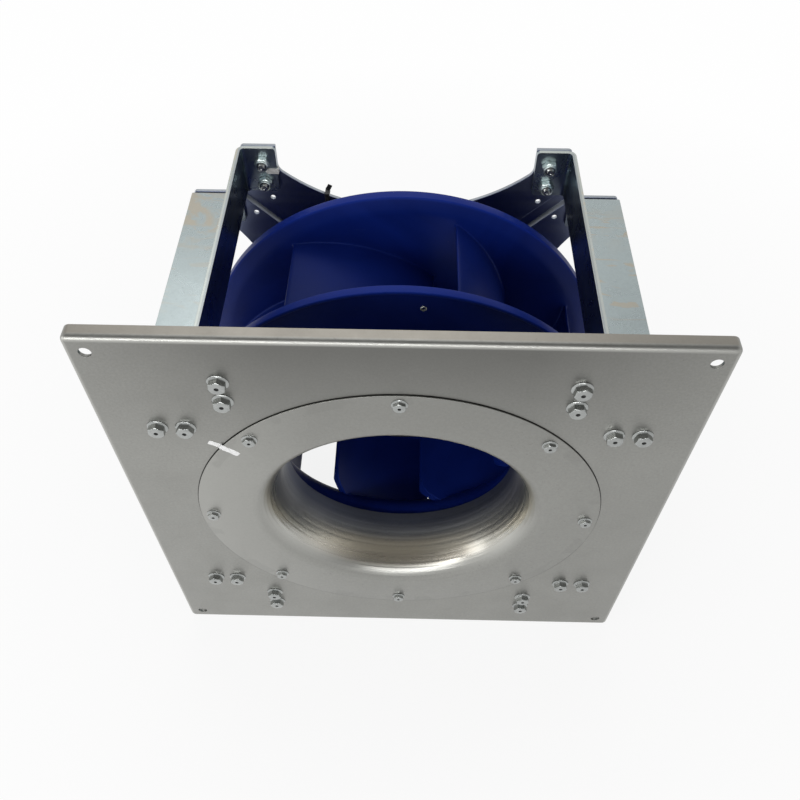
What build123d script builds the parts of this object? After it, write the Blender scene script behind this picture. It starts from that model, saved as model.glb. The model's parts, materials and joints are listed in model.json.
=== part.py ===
from build123d import *
import os
from math import cos, pi, radians, sin, sqrt

os.makedirs("parts", exist_ok=True)

# Plug fan with a backward-curved impeller. Millimetres.
# X points right and Z up, seen from the inlet side. Y runs rearwards along the fan's axis.
# The origin is the centre of the front face of the square mounting plate.

# Sheet metal and general clearances
sheet = 3.0
frame_sheet = 4.0
face_gap = 0.05
thread_gap = 0.05

# Square mounting plate
plate_size = 500.0
plate_flange_depth = 14.0
plate_bend = 5.0
plate_corner_round = 1.0
mount_hole_inset = 16.0
mount_hole_r = 5.0

# Inlet nozzle
nozzle_sheet = 1.5
nozzle_disk_r = 190.5
nozzle_end_r = 113.9
nozzle_bell_width = 27.5
nozzle_overlap = 8.8
nozzle_opening_gap = 3.6
nozzle_screw_inset = 11.5
nozzle_screw_count = 8

# L-section struts
strut_inner = 160.1
strut_leg = 57.0
strut_fold_r = 8.0
strut_corner_r = 6.0
strut_flange_width = 33.1
strut_flange_corner_r = 3.5
strut_relief = 6.9
strut_relief_gap = 1.2
frame_depth = 282.5
bolt_inset = 19.4
bolt_mid = 29.4
bolt_pitch = 23.6

# X-shaped motor carrier behind the impeller
cross_arc_r = 191.6
cross_waist_margin = 18.0
cross_blend_r = 12.0
cross_opening_gap = 3.0
cross_corner_set_back = 2.5
cross_arm_corner_r = 4.0
cross_groove_gap = 10.0
cross_groove_width = 16.0
cross_groove_depth = 4.5
cross_groove_taper = 30.0
cross_pin_hole_r = 2.6
cross_pin_hole_reach = 206.3
cross_pin_hole_side = 14.0

# Fasteners: shank radius, across flats, head height, flange radius, clearance hole
bolt_r = 4.0
bolt_flats = 13.0
bolt_head = 5.6
bolt_flange_r = 8.9
bolt_flange_height = 1.6
bolt_hole_r = 4.5
nut_height = 8.0
nut_collar_height = 2.2
nut_collar_share = 0.9
stud_end = 3.0
screw_r = 3.0
screw_flats = 10.0
screw_head = 4.6
screw_flange_r = 6.9
screw_flange_height = 1.2
screw_hole_r = 3.4
screw_nut_height = 6.0
screw_nut_collar_height = 1.6
screw_end = 2.5
flange_taper = 12.0
pan_head_share = 1.9
pan_head_taper = 18.0

# Impeller
impeller_r = 207.0
impeller_wall = 3.5
impeller_set_back = 66.5
impeller_width = 111.0
shroud_inlet_gap = 3.1
shroud_depth = 45.0
shroud_bend_r = 36.2
shroud_lip = 8.7
back_wall = 4.0
back_cone_width = 14.0
back_cone_drop = 5.0
back_cone_blend_r = 24.0
back_rim_height = 14.6
blade_count = 7
blade_rim_step = 22.0
blade_hub_gap = 15.0
blade_wrap = 49.5
blade_bulge = 16.2
blade_thickness = 4.4
blade_tail_thickness = 2.4
blade_first_angle = 22.8
blade_root_angle = 32.0
blade_root_slope = -0.9
blade_curve_start = 17.0

# External-rotor motor
rotor_r = 82.0
rotor_wall = 4.0
rotor_depth = 66.0
rotor_flange_width = 18.0
rotor_flange_thickness = 6.0
rotor_boss_r = 16.0
rotor_boss_depth = 6.0
rotor_bore_gap = 0.2
hub_ring_thickness = 3.0
hub_screw_count = 8
hub_screw_inset = 8.0
shaft_r = 8.5
shaft_tail = 6.0
shaft_end_gap = 1.0
magnet_count = 10
magnet_thickness = 5.0
magnet_set_in = 14.0
magnet_length = 52.0
magnet_cover = 0.86
air_gap = 0.8
tooth_count = 12
tooth_width = 9.0
tooth_tip = 4.5
slot_mouth = 4.0
core_length = 42.0
core_yoke = 12.0
coil_thickness = 5.2
coil_overhang = 6.5
coil_gap = 0.3
tube_wall = 6.0
bearing_r = 20.0
bearing_width = 12.0
bearing_inner_wall = 2.9
bearing_outer_wall = 2.9
bearing_groove_r = 3.5
bearing_ball_gap = 0.1
bearing_boss_gap = 2.0
bearing_spacing = 60.0
bearing_shoulder = 3.0
spring_thickness = 1.6
circlip_thickness = 1.2
circlip_r = 11.5
circlip_groove_depth = 1.0
stator_disk_gap = 2.0
stator_disk_thickness = 8.0
stator_wall_gap = 4.0
stator_wall = 6.0
stator_foot_width = 16.0
stator_foot_thickness = 7.0
stator_rib_count = 24
stator_rib_thickness = 3.0
stator_rib_set_back = 3.0
motor_screw_count = 8

# Electronics behind the carrier
housing_r = 98.0
housing_wall = 4.0
housing_depth = 76.0
housing_fin_count = 36
housing_fin_height = 5.0
housing_fin_thickness = 2.2
housing_floor = 8.0
cover_thickness = 4.0
cover_dome = 5.0
cover_dome_taper = 20.0
cover_screw_count = 6
cover_screw_r = 2.5
cover_screw_grip = 7.5
cover_screw_hole_depth = 10.0
housing_screw_grip = 6.0
housing_screw_hole_depth = 6.5
board_post_inset = 27.5
gasket_thickness = 1.0
boss_r = 6.0
board_thickness = 1.6
board_gap = 3.0
board_post_height = 22.0
capacitor_r = 11.0
capacitor_height = 26.0
capacitor_pitch = 25.4
capacitor_row_z = 37.0
choke_r = 16.0
choke_bore_r = 7.0
choke_height = 14.0
choke_place = (-45.0, -8.0)
module_size = (48.0, 22.0, 9.0)
module_place = (25.0, -4.0)
terminal_size = (60.0, 14.0, 16.0)
terminal_row_z = -45.0
gland_r = 10.0
gland_flats = 24.0
gland_seat_margin = 1.0
gland_seat_height = 48.0
gland_hole_depth = 20.0
gland_bore_r = 5.0
gland_nut_height = 7.0
gland_dome_r = 10.6
gland_dome_height = 12.0
gland_dome_taper = 14.0
gland_spacing = 52.0

# Small trim
clip_thickness = 1.0
clip_width = 6.0
clip_reach = 12.0
clip_point = 2.4
clip_edge_gap = 0.2
clip_drop = 10.1
tie_width = 4.6
tie_strap = 1.3
tie_side = 80.0
tie_hole_depth = 14.0
tie_hole_r = 4.0
tie_rise = 1.0
tie_tail_length = 6.0
tie_tail_lean = -28.0
balance_clip_size = 6.0
balance_clip_thickness = 1.2
balance_clip_inset = 23.0
balance_clip_angle = 84.2

# Places worked out from the sizes above
strut_outer = strut_inner + frame_sheet
strut_reach = strut_inner + strut_leg
flange_edge = strut_inner - strut_flange_width
flange_start = strut_inner + strut_relief
strut_front = sheet
strut_rear = frame_depth
bolt_line = strut_inner - bolt_inset
bolt_rows = (strut_inner + bolt_mid - bolt_pitch / 2, strut_inner + bolt_mid + bolt_pitch / 2)
cross_front = frame_depth
cross_rear = frame_depth + frame_sheet
back_y = cross_front - impeller_set_back
back_rear_y = back_y + back_wall
shroud_y = back_y - impeller_width
shroud_front_y = shroud_y - impeller_wall
shroud_inlet_y = shroud_y - shroud_depth
nozzle_end_y = shroud_inlet_y + nozzle_overlap
bell_centre_r = nozzle_end_r + nozzle_bell_width
nozzle_screw_r = nozzle_disk_r - nozzle_screw_inset
shroud_inlet_r = nozzle_end_r + nozzle_sheet + shroud_inlet_gap
rotor_front_y = back_y - rotor_depth
rotor_flange_y = back_rear_y
rotor_rear_y = rotor_flange_y + rotor_flange_thickness
rotor_flange_r = rotor_r + rotor_flange_width
hub_screw_r = rotor_flange_r - hub_screw_inset
rotor_inside_r = rotor_r - rotor_wall
magnet_inside_r = rotor_inside_r - magnet_thickness
magnet_start_y = rotor_front_y + magnet_set_in
core_r = magnet_inside_r - air_gap
core_start_y = magnet_start_y + (magnet_length - core_length) / 2
blade_outer_r = impeller_r - blade_rim_step
blade_inner_r = rotor_flange_r + blade_hub_gap
tube_r = bearing_r + tube_wall
front_bearing_y = rotor_front_y + rotor_wall + rotor_boss_depth + bearing_boss_gap
rear_bearing_y = front_bearing_y + bearing_spacing
shaft_end_y = rear_bearing_y + bearing_width + shaft_tail
stator_disk_y = rear_bearing_y + bearing_width + stator_disk_gap
cross_opening_r = housing_r + housing_fin_height + cross_opening_gap
stator_wall_r = cross_opening_r + stator_wall_gap + stator_wall
stator_foot_r = stator_wall_r + stator_foot_width
motor_screw_r = stator_wall_r + stator_foot_width / 2
cross_waist = motor_screw_r + cross_waist_margin
cross_arc_centre = cross_waist + cross_arc_r
housing_front = stator_disk_y + stator_disk_thickness
housing_rear = housing_front + housing_depth
board_post_r = housing_r - board_post_inset
cover_front = housing_rear + gasket_thickness
board_y = housing_front + housing_floor + board_post_height
cover_screw_circle_r = housing_r - housing_wall - boss_r / 2


def across(y):
    """Plane across the fan's axis at depth y, facing the inlet, with X right and Z up."""
    return Plane(origin=(0, y, 0), x_dir=(1, 0, 0), z_dir=(0, -1, 0))


def corner_places(y):
    """The sixteen bolt places at depth y: two on each flange of each strut."""
    places = []
    for side_x in (-1, 1):
        for side_z in (-1, 1):
            for row in bolt_rows:
                places.append((side_x * bolt_line, y, side_z * row))
                places.append((side_x * row, y, side_z * bolt_line))
    return places


def ring_places(radius, count, y, start=0.0):
    """Places evenly spaced on a circle about the fan's axis at depth y."""
    turns = [radians(start + 360.0 * step / count) for step in range(count)]
    return [(radius * cos(turn), y, radius * sin(turn)) for turn in turns]


def flat_points(places):
    """The X and Z of places, for a sketch across the axis."""
    return [(x, z) for x, y, z in places]


def flange_fastener(radius, flats, head, flange_r, flange_height, length):
    """Hex head with a flange. The head points forwards and the shank rearwards from y = 0."""
    with BuildPart() as fastener:
        with BuildSketch(across(0)):
            Circle(flange_r)
        extrude(amount=flange_height, taper=flange_taper)
        with BuildSketch(across(-flange_height)):
            RegularPolygon(flats / 2, 6, major_radius=False)
        extrude(amount=head - flange_height)
        with BuildSketch(across(0)):
            Circle(radius)
        extrude(amount=-length)
    return fastener.part


def lock_nut(radius, flats, height, collar):
    """Hex nut with a round locking collar at its rear end, from y = 0 rearwards."""
    with BuildPart() as nut:
        with BuildSketch(across(0)):
            RegularPolygon(flats / 2, 6, major_radius=False)
            Circle(radius + thread_gap, mode=Mode.SUBTRACT)
        extrude(amount=-(height - collar))
        with BuildSketch(across(height - collar)):
            Circle(flats / 2 * nut_collar_share)
            Circle(radius + thread_gap, mode=Mode.SUBTRACT)
        extrude(amount=-collar)
    return nut.part


def turned(piece):
    """The piece turned half way about X, so that its front points rearwards."""
    return piece.rotate(Axis.X, 180)


def save(builder, name):
    builder.part.label = name
    export_step(builder.part, "parts/" + name + ".step")


# Square mounting plate with its flanges and holes
nozzle_ring = ring_places(nozzle_screw_r, nozzle_screw_count, 0)
mount_hole_spacing = plate_size - 2 * mount_hole_inset
plate_opening_r = bell_centre_r + nozzle_opening_gap
with BuildPart() as front_plate:
    with BuildSketch(across(0)):
        RectangleRounded(plate_size, plate_size, plate_corner_round + plate_bend)
    extrude(amount=-plate_flange_depth)
    fillet(front_plate.faces().sort_by(Axis.Y)[0].edges(), plate_bend)
    inside = plate_size - 2 * sheet
    with BuildSketch(across(sheet)):
        RectangleRounded(inside, inside, plate_corner_round + plate_bend - sheet)
    extrude(amount=-(plate_flange_depth - sheet), mode=Mode.SUBTRACT)
    with BuildSketch(across(0)):
        Circle(plate_opening_r)
        with GridLocations(mount_hole_spacing, mount_hole_spacing, 2, 2):
            Circle(mount_hole_r)
        with Locations(*flat_points(corner_places(0))):
            Circle(bolt_hole_r)
        with Locations(*flat_points(nozzle_ring)):
            Circle(screw_hole_r)
    extrude(amount=-sheet, mode=Mode.SUBTRACT)
save(front_plate, "front_plate")

# Spun inlet nozzle: a flat disk that runs into a bell mouth, a quarter of an ellipse in section
bell_depth = nozzle_end_y + nozzle_sheet
with BuildPart() as inlet_nozzle:
    with BuildSketch(Plane.XY):
        with BuildLine():
            Line((bell_centre_r, 0), (nozzle_disk_r, 0))
            Line((nozzle_disk_r, 0), (nozzle_disk_r, -nozzle_sheet))
            Line((nozzle_disk_r, -nozzle_sheet), (bell_centre_r, -nozzle_sheet))
            EllipticalCenterArc((bell_centre_r, nozzle_end_y), nozzle_bell_width, bell_depth,
                                180, arc_size=90)
            Line((nozzle_end_r, nozzle_end_y), (nozzle_end_r + nozzle_sheet, nozzle_end_y))
            EllipticalCenterArc((bell_centre_r, nozzle_end_y), nozzle_bell_width - nozzle_sheet,
                                bell_depth - nozzle_sheet, 180, arc_size=90)
        make_face()
    revolve(axis=Axis.Y)
    with BuildSketch(across(-nozzle_sheet)):
        with Locations(*flat_points(nozzle_ring)):
            Circle(screw_hole_r)
    extrude(amount=-nozzle_sheet, mode=Mode.SUBTRACT)
save(inlet_nozzle, "inlet_nozzle")

# Nozzle screws, with their nuts behind the plate
screw_length = nozzle_sheet + sheet + screw_nut_height + screw_end
nozzle_screw = flange_fastener(screw_r, screw_flats, screw_head, screw_flange_r,
                               screw_flange_height, screw_length)
nozzle_nut = lock_nut(screw_r, screw_flats, screw_nut_height, screw_nut_collar_height)
with BuildPart() as nozzle_screws:
    with Locations(*ring_places(nozzle_screw_r, nozzle_screw_count, -nozzle_sheet)):
        add(nozzle_screw)
save(nozzle_screws, "nozzle_screws")
with BuildPart() as nozzle_nuts:
    with Locations(*ring_places(nozzle_screw_r, nozzle_screw_count, sheet)):
        add(nozzle_nut)
save(nozzle_nuts, "nozzle_nuts")


def channel_outline(mid, length):
    """Cross-section of a leg with both its flanges, folded towards the axis."""
    width = strut_outer - flange_edge
    with BuildSketch() as outline:
        with Locations((flange_edge, mid)):
            Rectangle(width, length, align=(Align.MIN, Align.CENTER))
        right = outline.vertices().group_by(Axis.X)[-1]
        fillet(right, strut_fold_r)
        with BuildSketch(mode=Mode.SUBTRACT) as hollow:
            with Locations((flange_edge, mid)):
                Rectangle(width - frame_sheet, length - 2 * frame_sheet,
                          align=(Align.MIN, Align.CENTER))
            fillet(hollow.vertices().group_by(Axis.X)[-1], strut_fold_r - frame_sheet)
    return outline.sketch


def strut(side_x, side_z):
    """One strut, in the corner that the two signs name."""
    length = strut_rear - strut_front
    outline = channel_outline(strut_front + length / 2, length)
    leg_height = strut_reach - flange_start
    with BuildPart() as piece:
        with BuildSketch(Plane.XY.offset(flange_start)):
            add(outline)
        extrude(amount=leg_height)
        flange_ends = piece.edges().filter_by(Axis.Y).group_by(Axis.X)[0]
        fillet(flange_ends, strut_flange_corner_r)
        mirror(about=Plane(origin=(0, 0, 0), z_dir=(1, 0, -1)))
        with BuildSketch(across(strut_front + strut_relief_gap)) as corner:
            with BuildLine():
                Polyline((strut_inner, flange_start), (strut_inner, strut_inner),
                         (flange_start, strut_inner), (flange_start, strut_outer),
                         (strut_outer, strut_outer), (strut_outer, flange_start), close=True)
            make_face()
            fillet(corner.vertices().sort_by_distance((0, 0))[0], strut_corner_r)
            fillet(corner.vertices().sort_by_distance((strut_outer, strut_outer))[0],
                   strut_corner_r - frame_sheet)
        extrude(amount=-(length - 2 * strut_relief_gap))
        holes = [(bolt_line, row) for row in bolt_rows] + [(row, bolt_line) for row in bolt_rows]
        with BuildSketch(across(strut_front)):
            with Locations(*holes):
                Circle(bolt_hole_r)
        extrude(amount=-length, mode=Mode.SUBTRACT)
        if side_x < 0:
            mirror(about=Plane.YZ, mode=Mode.REPLACE)
        if side_z < 0:
            mirror(about=Plane.XY, mode=Mode.REPLACE)
    return piece


# Four struts, one in each corner
for side_z, height_name in ((1, "top"), (-1, "bottom")):
    for side_x, side_name in ((-1, "left"), (1, "right")):
        save(strut(side_x, side_z), "strut_" + height_name + "_" + side_name)


def strut_bolt(grip):
    """Flange bolt through a grip of sheet, with its nut and the end that stands out of it."""
    return flange_fastener(bolt_r, bolt_flats, bolt_head + bolt_flange_height, bolt_flange_r,
                           bolt_flange_height, grip + nut_height + stud_end)


# Bolts at the front: heads on the plate, nuts behind the struts' flanges
strut_nut = lock_nut(bolt_r, bolt_flats, nut_height, nut_collar_height)
front_bolt = strut_bolt(sheet + frame_sheet)
with BuildPart() as front_bolts:
    with Locations(*corner_places(0)):
        add(front_bolt)
save(front_bolts, "front_bolts")
with BuildPart() as front_nuts:
    with Locations(*corner_places(sheet + frame_sheet)):
        add(strut_nut)
save(front_nuts, "front_nuts")

# Bolts at the rear: heads behind the carrier, nuts inside the frame
rear_bolt = turned(strut_bolt(2 * frame_sheet))
with BuildPart() as rear_bolts:
    with Locations(*corner_places(cross_rear)):
        add(rear_bolt)
save(rear_bolts, "rear_bolts")
with BuildPart() as rear_nuts:
    with Locations(*corner_places(frame_depth - frame_sheet)):
        add(turned(strut_nut))
save(rear_nuts, "rear_nuts")


def at_quarters(points, far, near):
    """The points of a sketch that lie far out on one axis and near on the other, any signs."""
    return points.filter_by(lambda point: abs(max(abs(point.X), abs(point.Y)) - far) < face_gap
                            and abs(min(abs(point.X), abs(point.Y)) - near) < face_gap)


# X-shaped carrier: a square cut by four arcs, with open corners along the struts' legs
tie_height = cross_arc_centre - sqrt(cross_arc_r ** 2 - tie_side ** 2)
cross_arc_end = cross_arc_centre - sqrt(cross_arc_r ** 2 - flange_edge ** 2)
cross_corner = strut_outer - cross_corner_set_back
motor_ring = ring_places(motor_screw_r, motor_screw_count, 0, 360.0 / motor_screw_count / 2)
with BuildSketch() as side_notch:
    with Locations((0, cross_arc_centre)):
        Circle(cross_arc_r)
    with Locations((0, cross_arc_end)):
        Rectangle(2 * flange_edge, strut_reach, align=(Align.CENTER, Align.MIN))
    with Locations((0, cross_waist)):
        Rectangle(2 * flange_edge, strut_reach, align=(Align.CENTER, Align.MIN),
                  mode=Mode.INTERSECT)
with BuildSketch() as open_corner:
    with Locations((cross_corner, cross_corner)):
        Rectangle(strut_leg, strut_leg, align=(Align.MIN, Align.MIN))

# The groove in each arm is pressed rearwards, so its back is as wide as the bent sheet makes it
groove_turn = radians(cross_groove_taper)
groove_back = cross_groove_width + 2 * frame_sheet * (1 - sin(groove_turn)) / cos(groove_turn)
groove_start = cross_waist + cross_groove_gap
groove_length = cross_corner * sqrt(2) + cross_groove_width - groove_start
groove_mid = groove_start + groove_length / 2
groove_growth = groove_back - cross_groove_width
with BuildPart() as rear_cross_plate:
    with BuildSketch(across(cross_front)) as cross_outline:
        Rectangle(2 * strut_reach, 2 * strut_reach)
        for turn in range(4):
            with Locations(Rotation(0, 0, 90 * turn)):
                add(side_notch.sketch, mode=Mode.SUBTRACT)
                add(open_corner.sketch, mode=Mode.SUBTRACT)
        fillet(at_quarters(cross_outline.vertices(), cross_arc_end, flange_edge), cross_blend_r)
        fillet(at_quarters(cross_outline.vertices(), strut_reach, cross_corner),
               cross_arm_corner_r)
        Circle(cross_opening_r, mode=Mode.SUBTRACT)
        with Locations(*flat_points(motor_ring)):
            Circle(bolt_hole_r, mode=Mode.SUBTRACT)
        with Locations(*flat_points(corner_places(0))):
            Circle(bolt_hole_r, mode=Mode.SUBTRACT)
        for turn in range(4):
            with Locations(Rotation(0, 0, 45 + 90 * turn)):
                with Locations((cross_pin_hole_reach, cross_pin_hole_side),
                               (cross_pin_hole_reach, -cross_pin_hole_side)):
                    Circle(cross_pin_hole_r, mode=Mode.SUBTRACT)
        with Locations((-tie_side, tie_height - tie_hole_depth)):
            Circle(tie_hole_r, mode=Mode.SUBTRACT)
    extrude(amount=-frame_sheet)
    for turn in range(4):
        with BuildSketch(across(cross_rear)):
            with Locations(Rotation(0, 0, 45 + 90 * turn) * Location((groove_mid, 0))):
                SlotOverall(groove_length + groove_growth, groove_back)
        extrude(amount=-cross_groove_depth, taper=cross_groove_taper)
    for turn in range(4):
        with BuildSketch(across(cross_front)):
            with Locations(Rotation(0, 0, 45 + 90 * turn) * Location((groove_mid, 0))):
                SlotOverall(groove_length, cross_groove_width)
        extrude(amount=-cross_groove_depth, taper=cross_groove_taper, mode=Mode.SUBTRACT)
    with BuildSketch(across(cross_front)):
        for turn in range(4):
            with Locations(Rotation(0, 0, 90 * turn)):
                add(open_corner.sketch)
    extrude(amount=-(frame_sheet + cross_groove_depth), mode=Mode.SUBTRACT)
save(rear_cross_plate, "rear_cross_plate")

# Impeller shroud: inlet collar, quarter bend, flat disk and a lip turned to the front
shroud_bend_y = shroud_y - shroud_bend_r
shroud_bend_centre_r = shroud_inlet_r + shroud_bend_r
with BuildPart() as impeller_shroud:
    with BuildSketch(Plane.XY):
        with BuildLine():
            Line((shroud_inlet_r, shroud_inlet_y), (shroud_inlet_r, shroud_bend_y))
            CenterArc((shroud_bend_centre_r, shroud_bend_y), shroud_bend_r, 180, -90)
            Polyline((shroud_bend_centre_r, shroud_y), (impeller_r, shroud_y),
                     (impeller_r, shroud_y - shroud_lip),
                     (impeller_r - impeller_wall, shroud_y - shroud_lip),
                     (impeller_r - impeller_wall, shroud_front_y),
                     (shroud_bend_centre_r, shroud_front_y))
            CenterArc((shroud_bend_centre_r, shroud_bend_y), shroud_bend_r - impeller_wall, 90, 90)
            Polyline((shroud_inlet_r + impeller_wall, shroud_bend_y),
                     (shroud_inlet_r + impeller_wall, shroud_inlet_y),
                     (shroud_inlet_r, shroud_inlet_y))
        make_face()
    revolve(axis=Axis.Y)
save(impeller_shroud, "impeller_shroud")

# Impeller back plate: flat disk, a shallow cone and a rim turned rearwards
back_bore_r = rotor_r + rotor_bore_gap
back_cone_r = impeller_r - back_cone_width
back_rim_y = back_y + back_rim_height
hub_ring_places = ring_places(hub_screw_r, hub_screw_count, 0)
with BuildPart() as impeller_back_plate:
    with BuildSketch(Plane.XY) as back_section:
        with BuildLine():
            Polyline((back_bore_r, back_y), (back_cone_r, back_y),
                     (impeller_r, back_y + back_cone_drop), (impeller_r, back_rim_y),
                     (impeller_r - impeller_wall, back_rim_y),
                     (impeller_r - impeller_wall, back_rear_y + back_cone_drop),
                     (back_cone_r - impeller_wall, back_rear_y), (back_bore_r, back_rear_y),
                     close=True)
        make_face()
        fillet(back_section.vertices().sort_by_distance((back_cone_r, back_y))[0],
               back_cone_blend_r)
        fillet(back_section.vertices().sort_by_distance(
            (back_cone_r - impeller_wall, back_rear_y))[0], back_cone_blend_r - back_wall)
    revolve(axis=Axis.Y)
    with BuildSketch(across(back_y)):
        with Locations(*flat_points(hub_ring_places)):
            Circle(screw_hole_r)
    extrude(amount=-back_wall, mode=Mode.SUBTRACT)
save(impeller_back_plate, "impeller_back_plate")

# Blades: a curved blade of tapering thickness, with its side outline from the passage's shape
tail = Vector(blade_outer_r, 0)
nose = Vector(blade_inner_r * cos(radians(blade_wrap)), -blade_inner_r * sin(radians(blade_wrap)))
chord = nose - tail
bulge_way = Vector(-chord.Y, chord.X).normalized()
crown = (tail + nose) * 0.5 + bulge_way * blade_bulge
camber_r = (chord.length ** 2 / 4 + blade_bulge ** 2) / (2 * blade_bulge)
camber_centre = crown - bulge_way * camber_r


def blade_side(point, half_thickness):
    """The point moved square to the blade's curve, to its outer or inner face."""
    return point + (point - camber_centre).normalized() * half_thickness


nose_half = blade_thickness / 2
tail_half = blade_tail_thickness / 2
nose_out = (nose - camber_centre).normalized()
nose_tip = nose + Vector(nose_out.Y, -nose_out.X) * nose_half
root_turn = radians(blade_root_angle)
root_point = (shroud_bend_centre_r - shroud_bend_r * cos(root_turn),
              shroud_bend_y + shroud_bend_r * sin(root_turn))
blade_side_r = blade_outer_r + blade_thickness
blade_front_r = blade_inner_r - blade_thickness
blade_curve_y = shroud_y + blade_curve_start
with BuildPart() as one_blade:
    with BuildSketch(across(back_y)):
        with BuildLine():
            ThreePointArc(blade_side(tail, tail_half), blade_side(crown, nose_half),
                          blade_side(nose, nose_half))
            ThreePointArc(blade_side(nose, nose_half), nose_tip, blade_side(nose, -nose_half))
            ThreePointArc(blade_side(nose, -nose_half), blade_side(crown, -nose_half),
                          blade_side(tail, -tail_half))
            Line(blade_side(tail, -tail_half), blade_side(tail, tail_half))
        make_face()
    extrude(amount=back_y - shroud_inlet_y)
    with BuildSketch(Plane.XY):
        with BuildLine():
            Polyline((blade_side_r, shroud_y), (blade_side_r, back_y), (blade_front_r, back_y),
                     (blade_front_r, blade_curve_y))
            Spline((blade_front_r, blade_curve_y), root_point,
                   tangents=[(0, -1), (1, blade_root_slope)])
            CenterArc((shroud_bend_centre_r, shroud_bend_y), shroud_bend_r,
                      180 - blade_root_angle, blade_root_angle - 90)
            Line((shroud_bend_centre_r, shroud_y), (blade_side_r, shroud_y))
        make_face()
    revolve(axis=Axis.Y, mode=Mode.INTERSECT)
with BuildPart() as impeller_blades:
    for step in range(blade_count):
        add(one_blade.part.rotate(Axis.Y, -(blade_first_angle + step * 360.0 / blade_count)))
save(impeller_blades, "impeller_blades")

# Clamp ring and screws that hold the impeller on the rotor
hub_front_y = back_y - hub_ring_thickness
with BuildPart() as hub_ring:
    with BuildSketch(across(hub_front_y)):
        Circle(rotor_flange_r)
        Circle(back_bore_r, mode=Mode.SUBTRACT)
        with Locations(*flat_points(hub_ring_places)):
            Circle(screw_hole_r, mode=Mode.SUBTRACT)
    extrude(amount=-hub_ring_thickness)
save(hub_ring, "hub_ring")
hub_screw_length = hub_ring_thickness + back_wall + rotor_flange_thickness
hub_screw = flange_fastener(screw_r, screw_flats, screw_head, screw_flange_r,
                            screw_flange_height, hub_screw_length)
with BuildPart() as impeller_screws:
    with Locations(*ring_places(hub_screw_r, hub_screw_count, hub_front_y)):
        add(hub_screw)
save(impeller_screws, "impeller_screws")

# Rotor bell: a deep cup with a flange at its open rear end and a boss for the shaft
with BuildPart() as rotor_bell:
    with BuildSketch(Plane.XY):
        with BuildLine():
            Polyline((shaft_r, rotor_front_y), (rotor_r - rotor_wall, rotor_front_y))
            CenterArc((rotor_r - rotor_wall, rotor_front_y + rotor_wall), rotor_wall, 270, 90)
            Polyline((rotor_r, rotor_front_y + rotor_wall), (rotor_r, rotor_flange_y),
                     (rotor_flange_r, rotor_flange_y), (rotor_flange_r, rotor_rear_y),
                     (rotor_inside_r, rotor_rear_y), (rotor_inside_r, rotor_front_y + rotor_wall),
                     (rotor_boss_r, rotor_front_y + rotor_wall),
                     (rotor_boss_r, rotor_front_y + rotor_wall + rotor_boss_depth),
                     (shaft_r, rotor_front_y + rotor_wall + rotor_boss_depth),
                     (shaft_r, rotor_front_y))
        make_face()
    revolve(axis=Axis.Y)
    with BuildSketch(across(rotor_flange_y)):
        with Locations(*flat_points(hub_ring_places)):
            Circle(screw_r + thread_gap)
    extrude(amount=-rotor_flange_thickness, mode=Mode.SUBTRACT)
save(rotor_bell, "rotor_bell")

# Magnets on the inside of the bell
with BuildPart() as rotor_magnets:
    with BuildSketch(across(magnet_start_y)):
        Circle(rotor_inside_r)
        Circle(magnet_inside_r, mode=Mode.SUBTRACT)
        gap_width = 2 * pi * magnet_inside_r / magnet_count * (1 - magnet_cover)
        with PolarLocations(0, magnet_count):
            Rectangle(rotor_r, gap_width, align=(Align.MIN, Align.CENTER), mode=Mode.SUBTRACT)
    extrude(amount=-magnet_length)
save(rotor_magnets, "rotor_magnets")

# Shaft, with a groove for the circlip behind the rear bearing
rear_bearing_end = rear_bearing_y + bearing_width
circlip_y = rear_bearing_end + face_gap
groove_r = shaft_r - circlip_groove_depth
with BuildPart() as motor_shaft:
    with BuildSketch(Plane.XY):
        with BuildLine():
            Polyline((0, rotor_front_y), (shaft_r, rotor_front_y), (shaft_r, circlip_y),
                     (groove_r, circlip_y), (groove_r, circlip_y + circlip_thickness),
                     (shaft_r, circlip_y + circlip_thickness), (shaft_r, shaft_end_y),
                     (0, shaft_end_y), close=True)
        make_face()
    revolve(axis=Axis.Y)
save(motor_shaft, "motor_shaft")
with BuildPart() as shaft_circlip:
    with BuildSketch(across(circlip_y)):
        Circle(circlip_r)
        Circle(groove_r, mode=Mode.SUBTRACT)
        Rectangle(circlip_r, shaft_r, align=(Align.MIN, Align.CENTER), mode=Mode.SUBTRACT)
    extrude(amount=-circlip_thickness)
save(shaft_circlip, "shaft_circlip")

# Two ball bearings: outer rings in the tube, inner rings on the shaft, ball rings between
ball_circle_r = (shaft_r + bearing_r) / 2
with BuildPart() as bearing_outer_rings:
    for start in (front_bearing_y, rear_bearing_y):
        with BuildSketch(Plane.XY):
            with Locations((bearing_r, start)):
                Rectangle(bearing_outer_wall, bearing_width, align=(Align.MAX, Align.MIN))
            with Locations((ball_circle_r, start + bearing_width / 2)):
                Circle(bearing_groove_r, mode=Mode.SUBTRACT)
        revolve(axis=Axis.Y)
save(bearing_outer_rings, "bearing_outer_rings")
with BuildPart() as bearing_inner_rings:
    for start in (front_bearing_y, rear_bearing_y):
        with BuildSketch(Plane.XY):
            with Locations((shaft_r, start)):
                Rectangle(bearing_inner_wall, bearing_width, align=(Align.MIN, Align.MIN))
            with Locations((ball_circle_r, start + bearing_width / 2)):
                Circle(bearing_groove_r, mode=Mode.SUBTRACT)
        revolve(axis=Axis.Y)
save(bearing_inner_rings, "bearing_inner_rings")
with BuildPart() as bearing_ball_rings:
    for start in (front_bearing_y, rear_bearing_y):
        with BuildSketch(Plane.XY):
            with Locations((ball_circle_r, start + bearing_width / 2)):
                Circle(bearing_groove_r - bearing_ball_gap)
        revolve(axis=Axis.Y)
save(bearing_ball_rings, "bearing_ball_rings")

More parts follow.
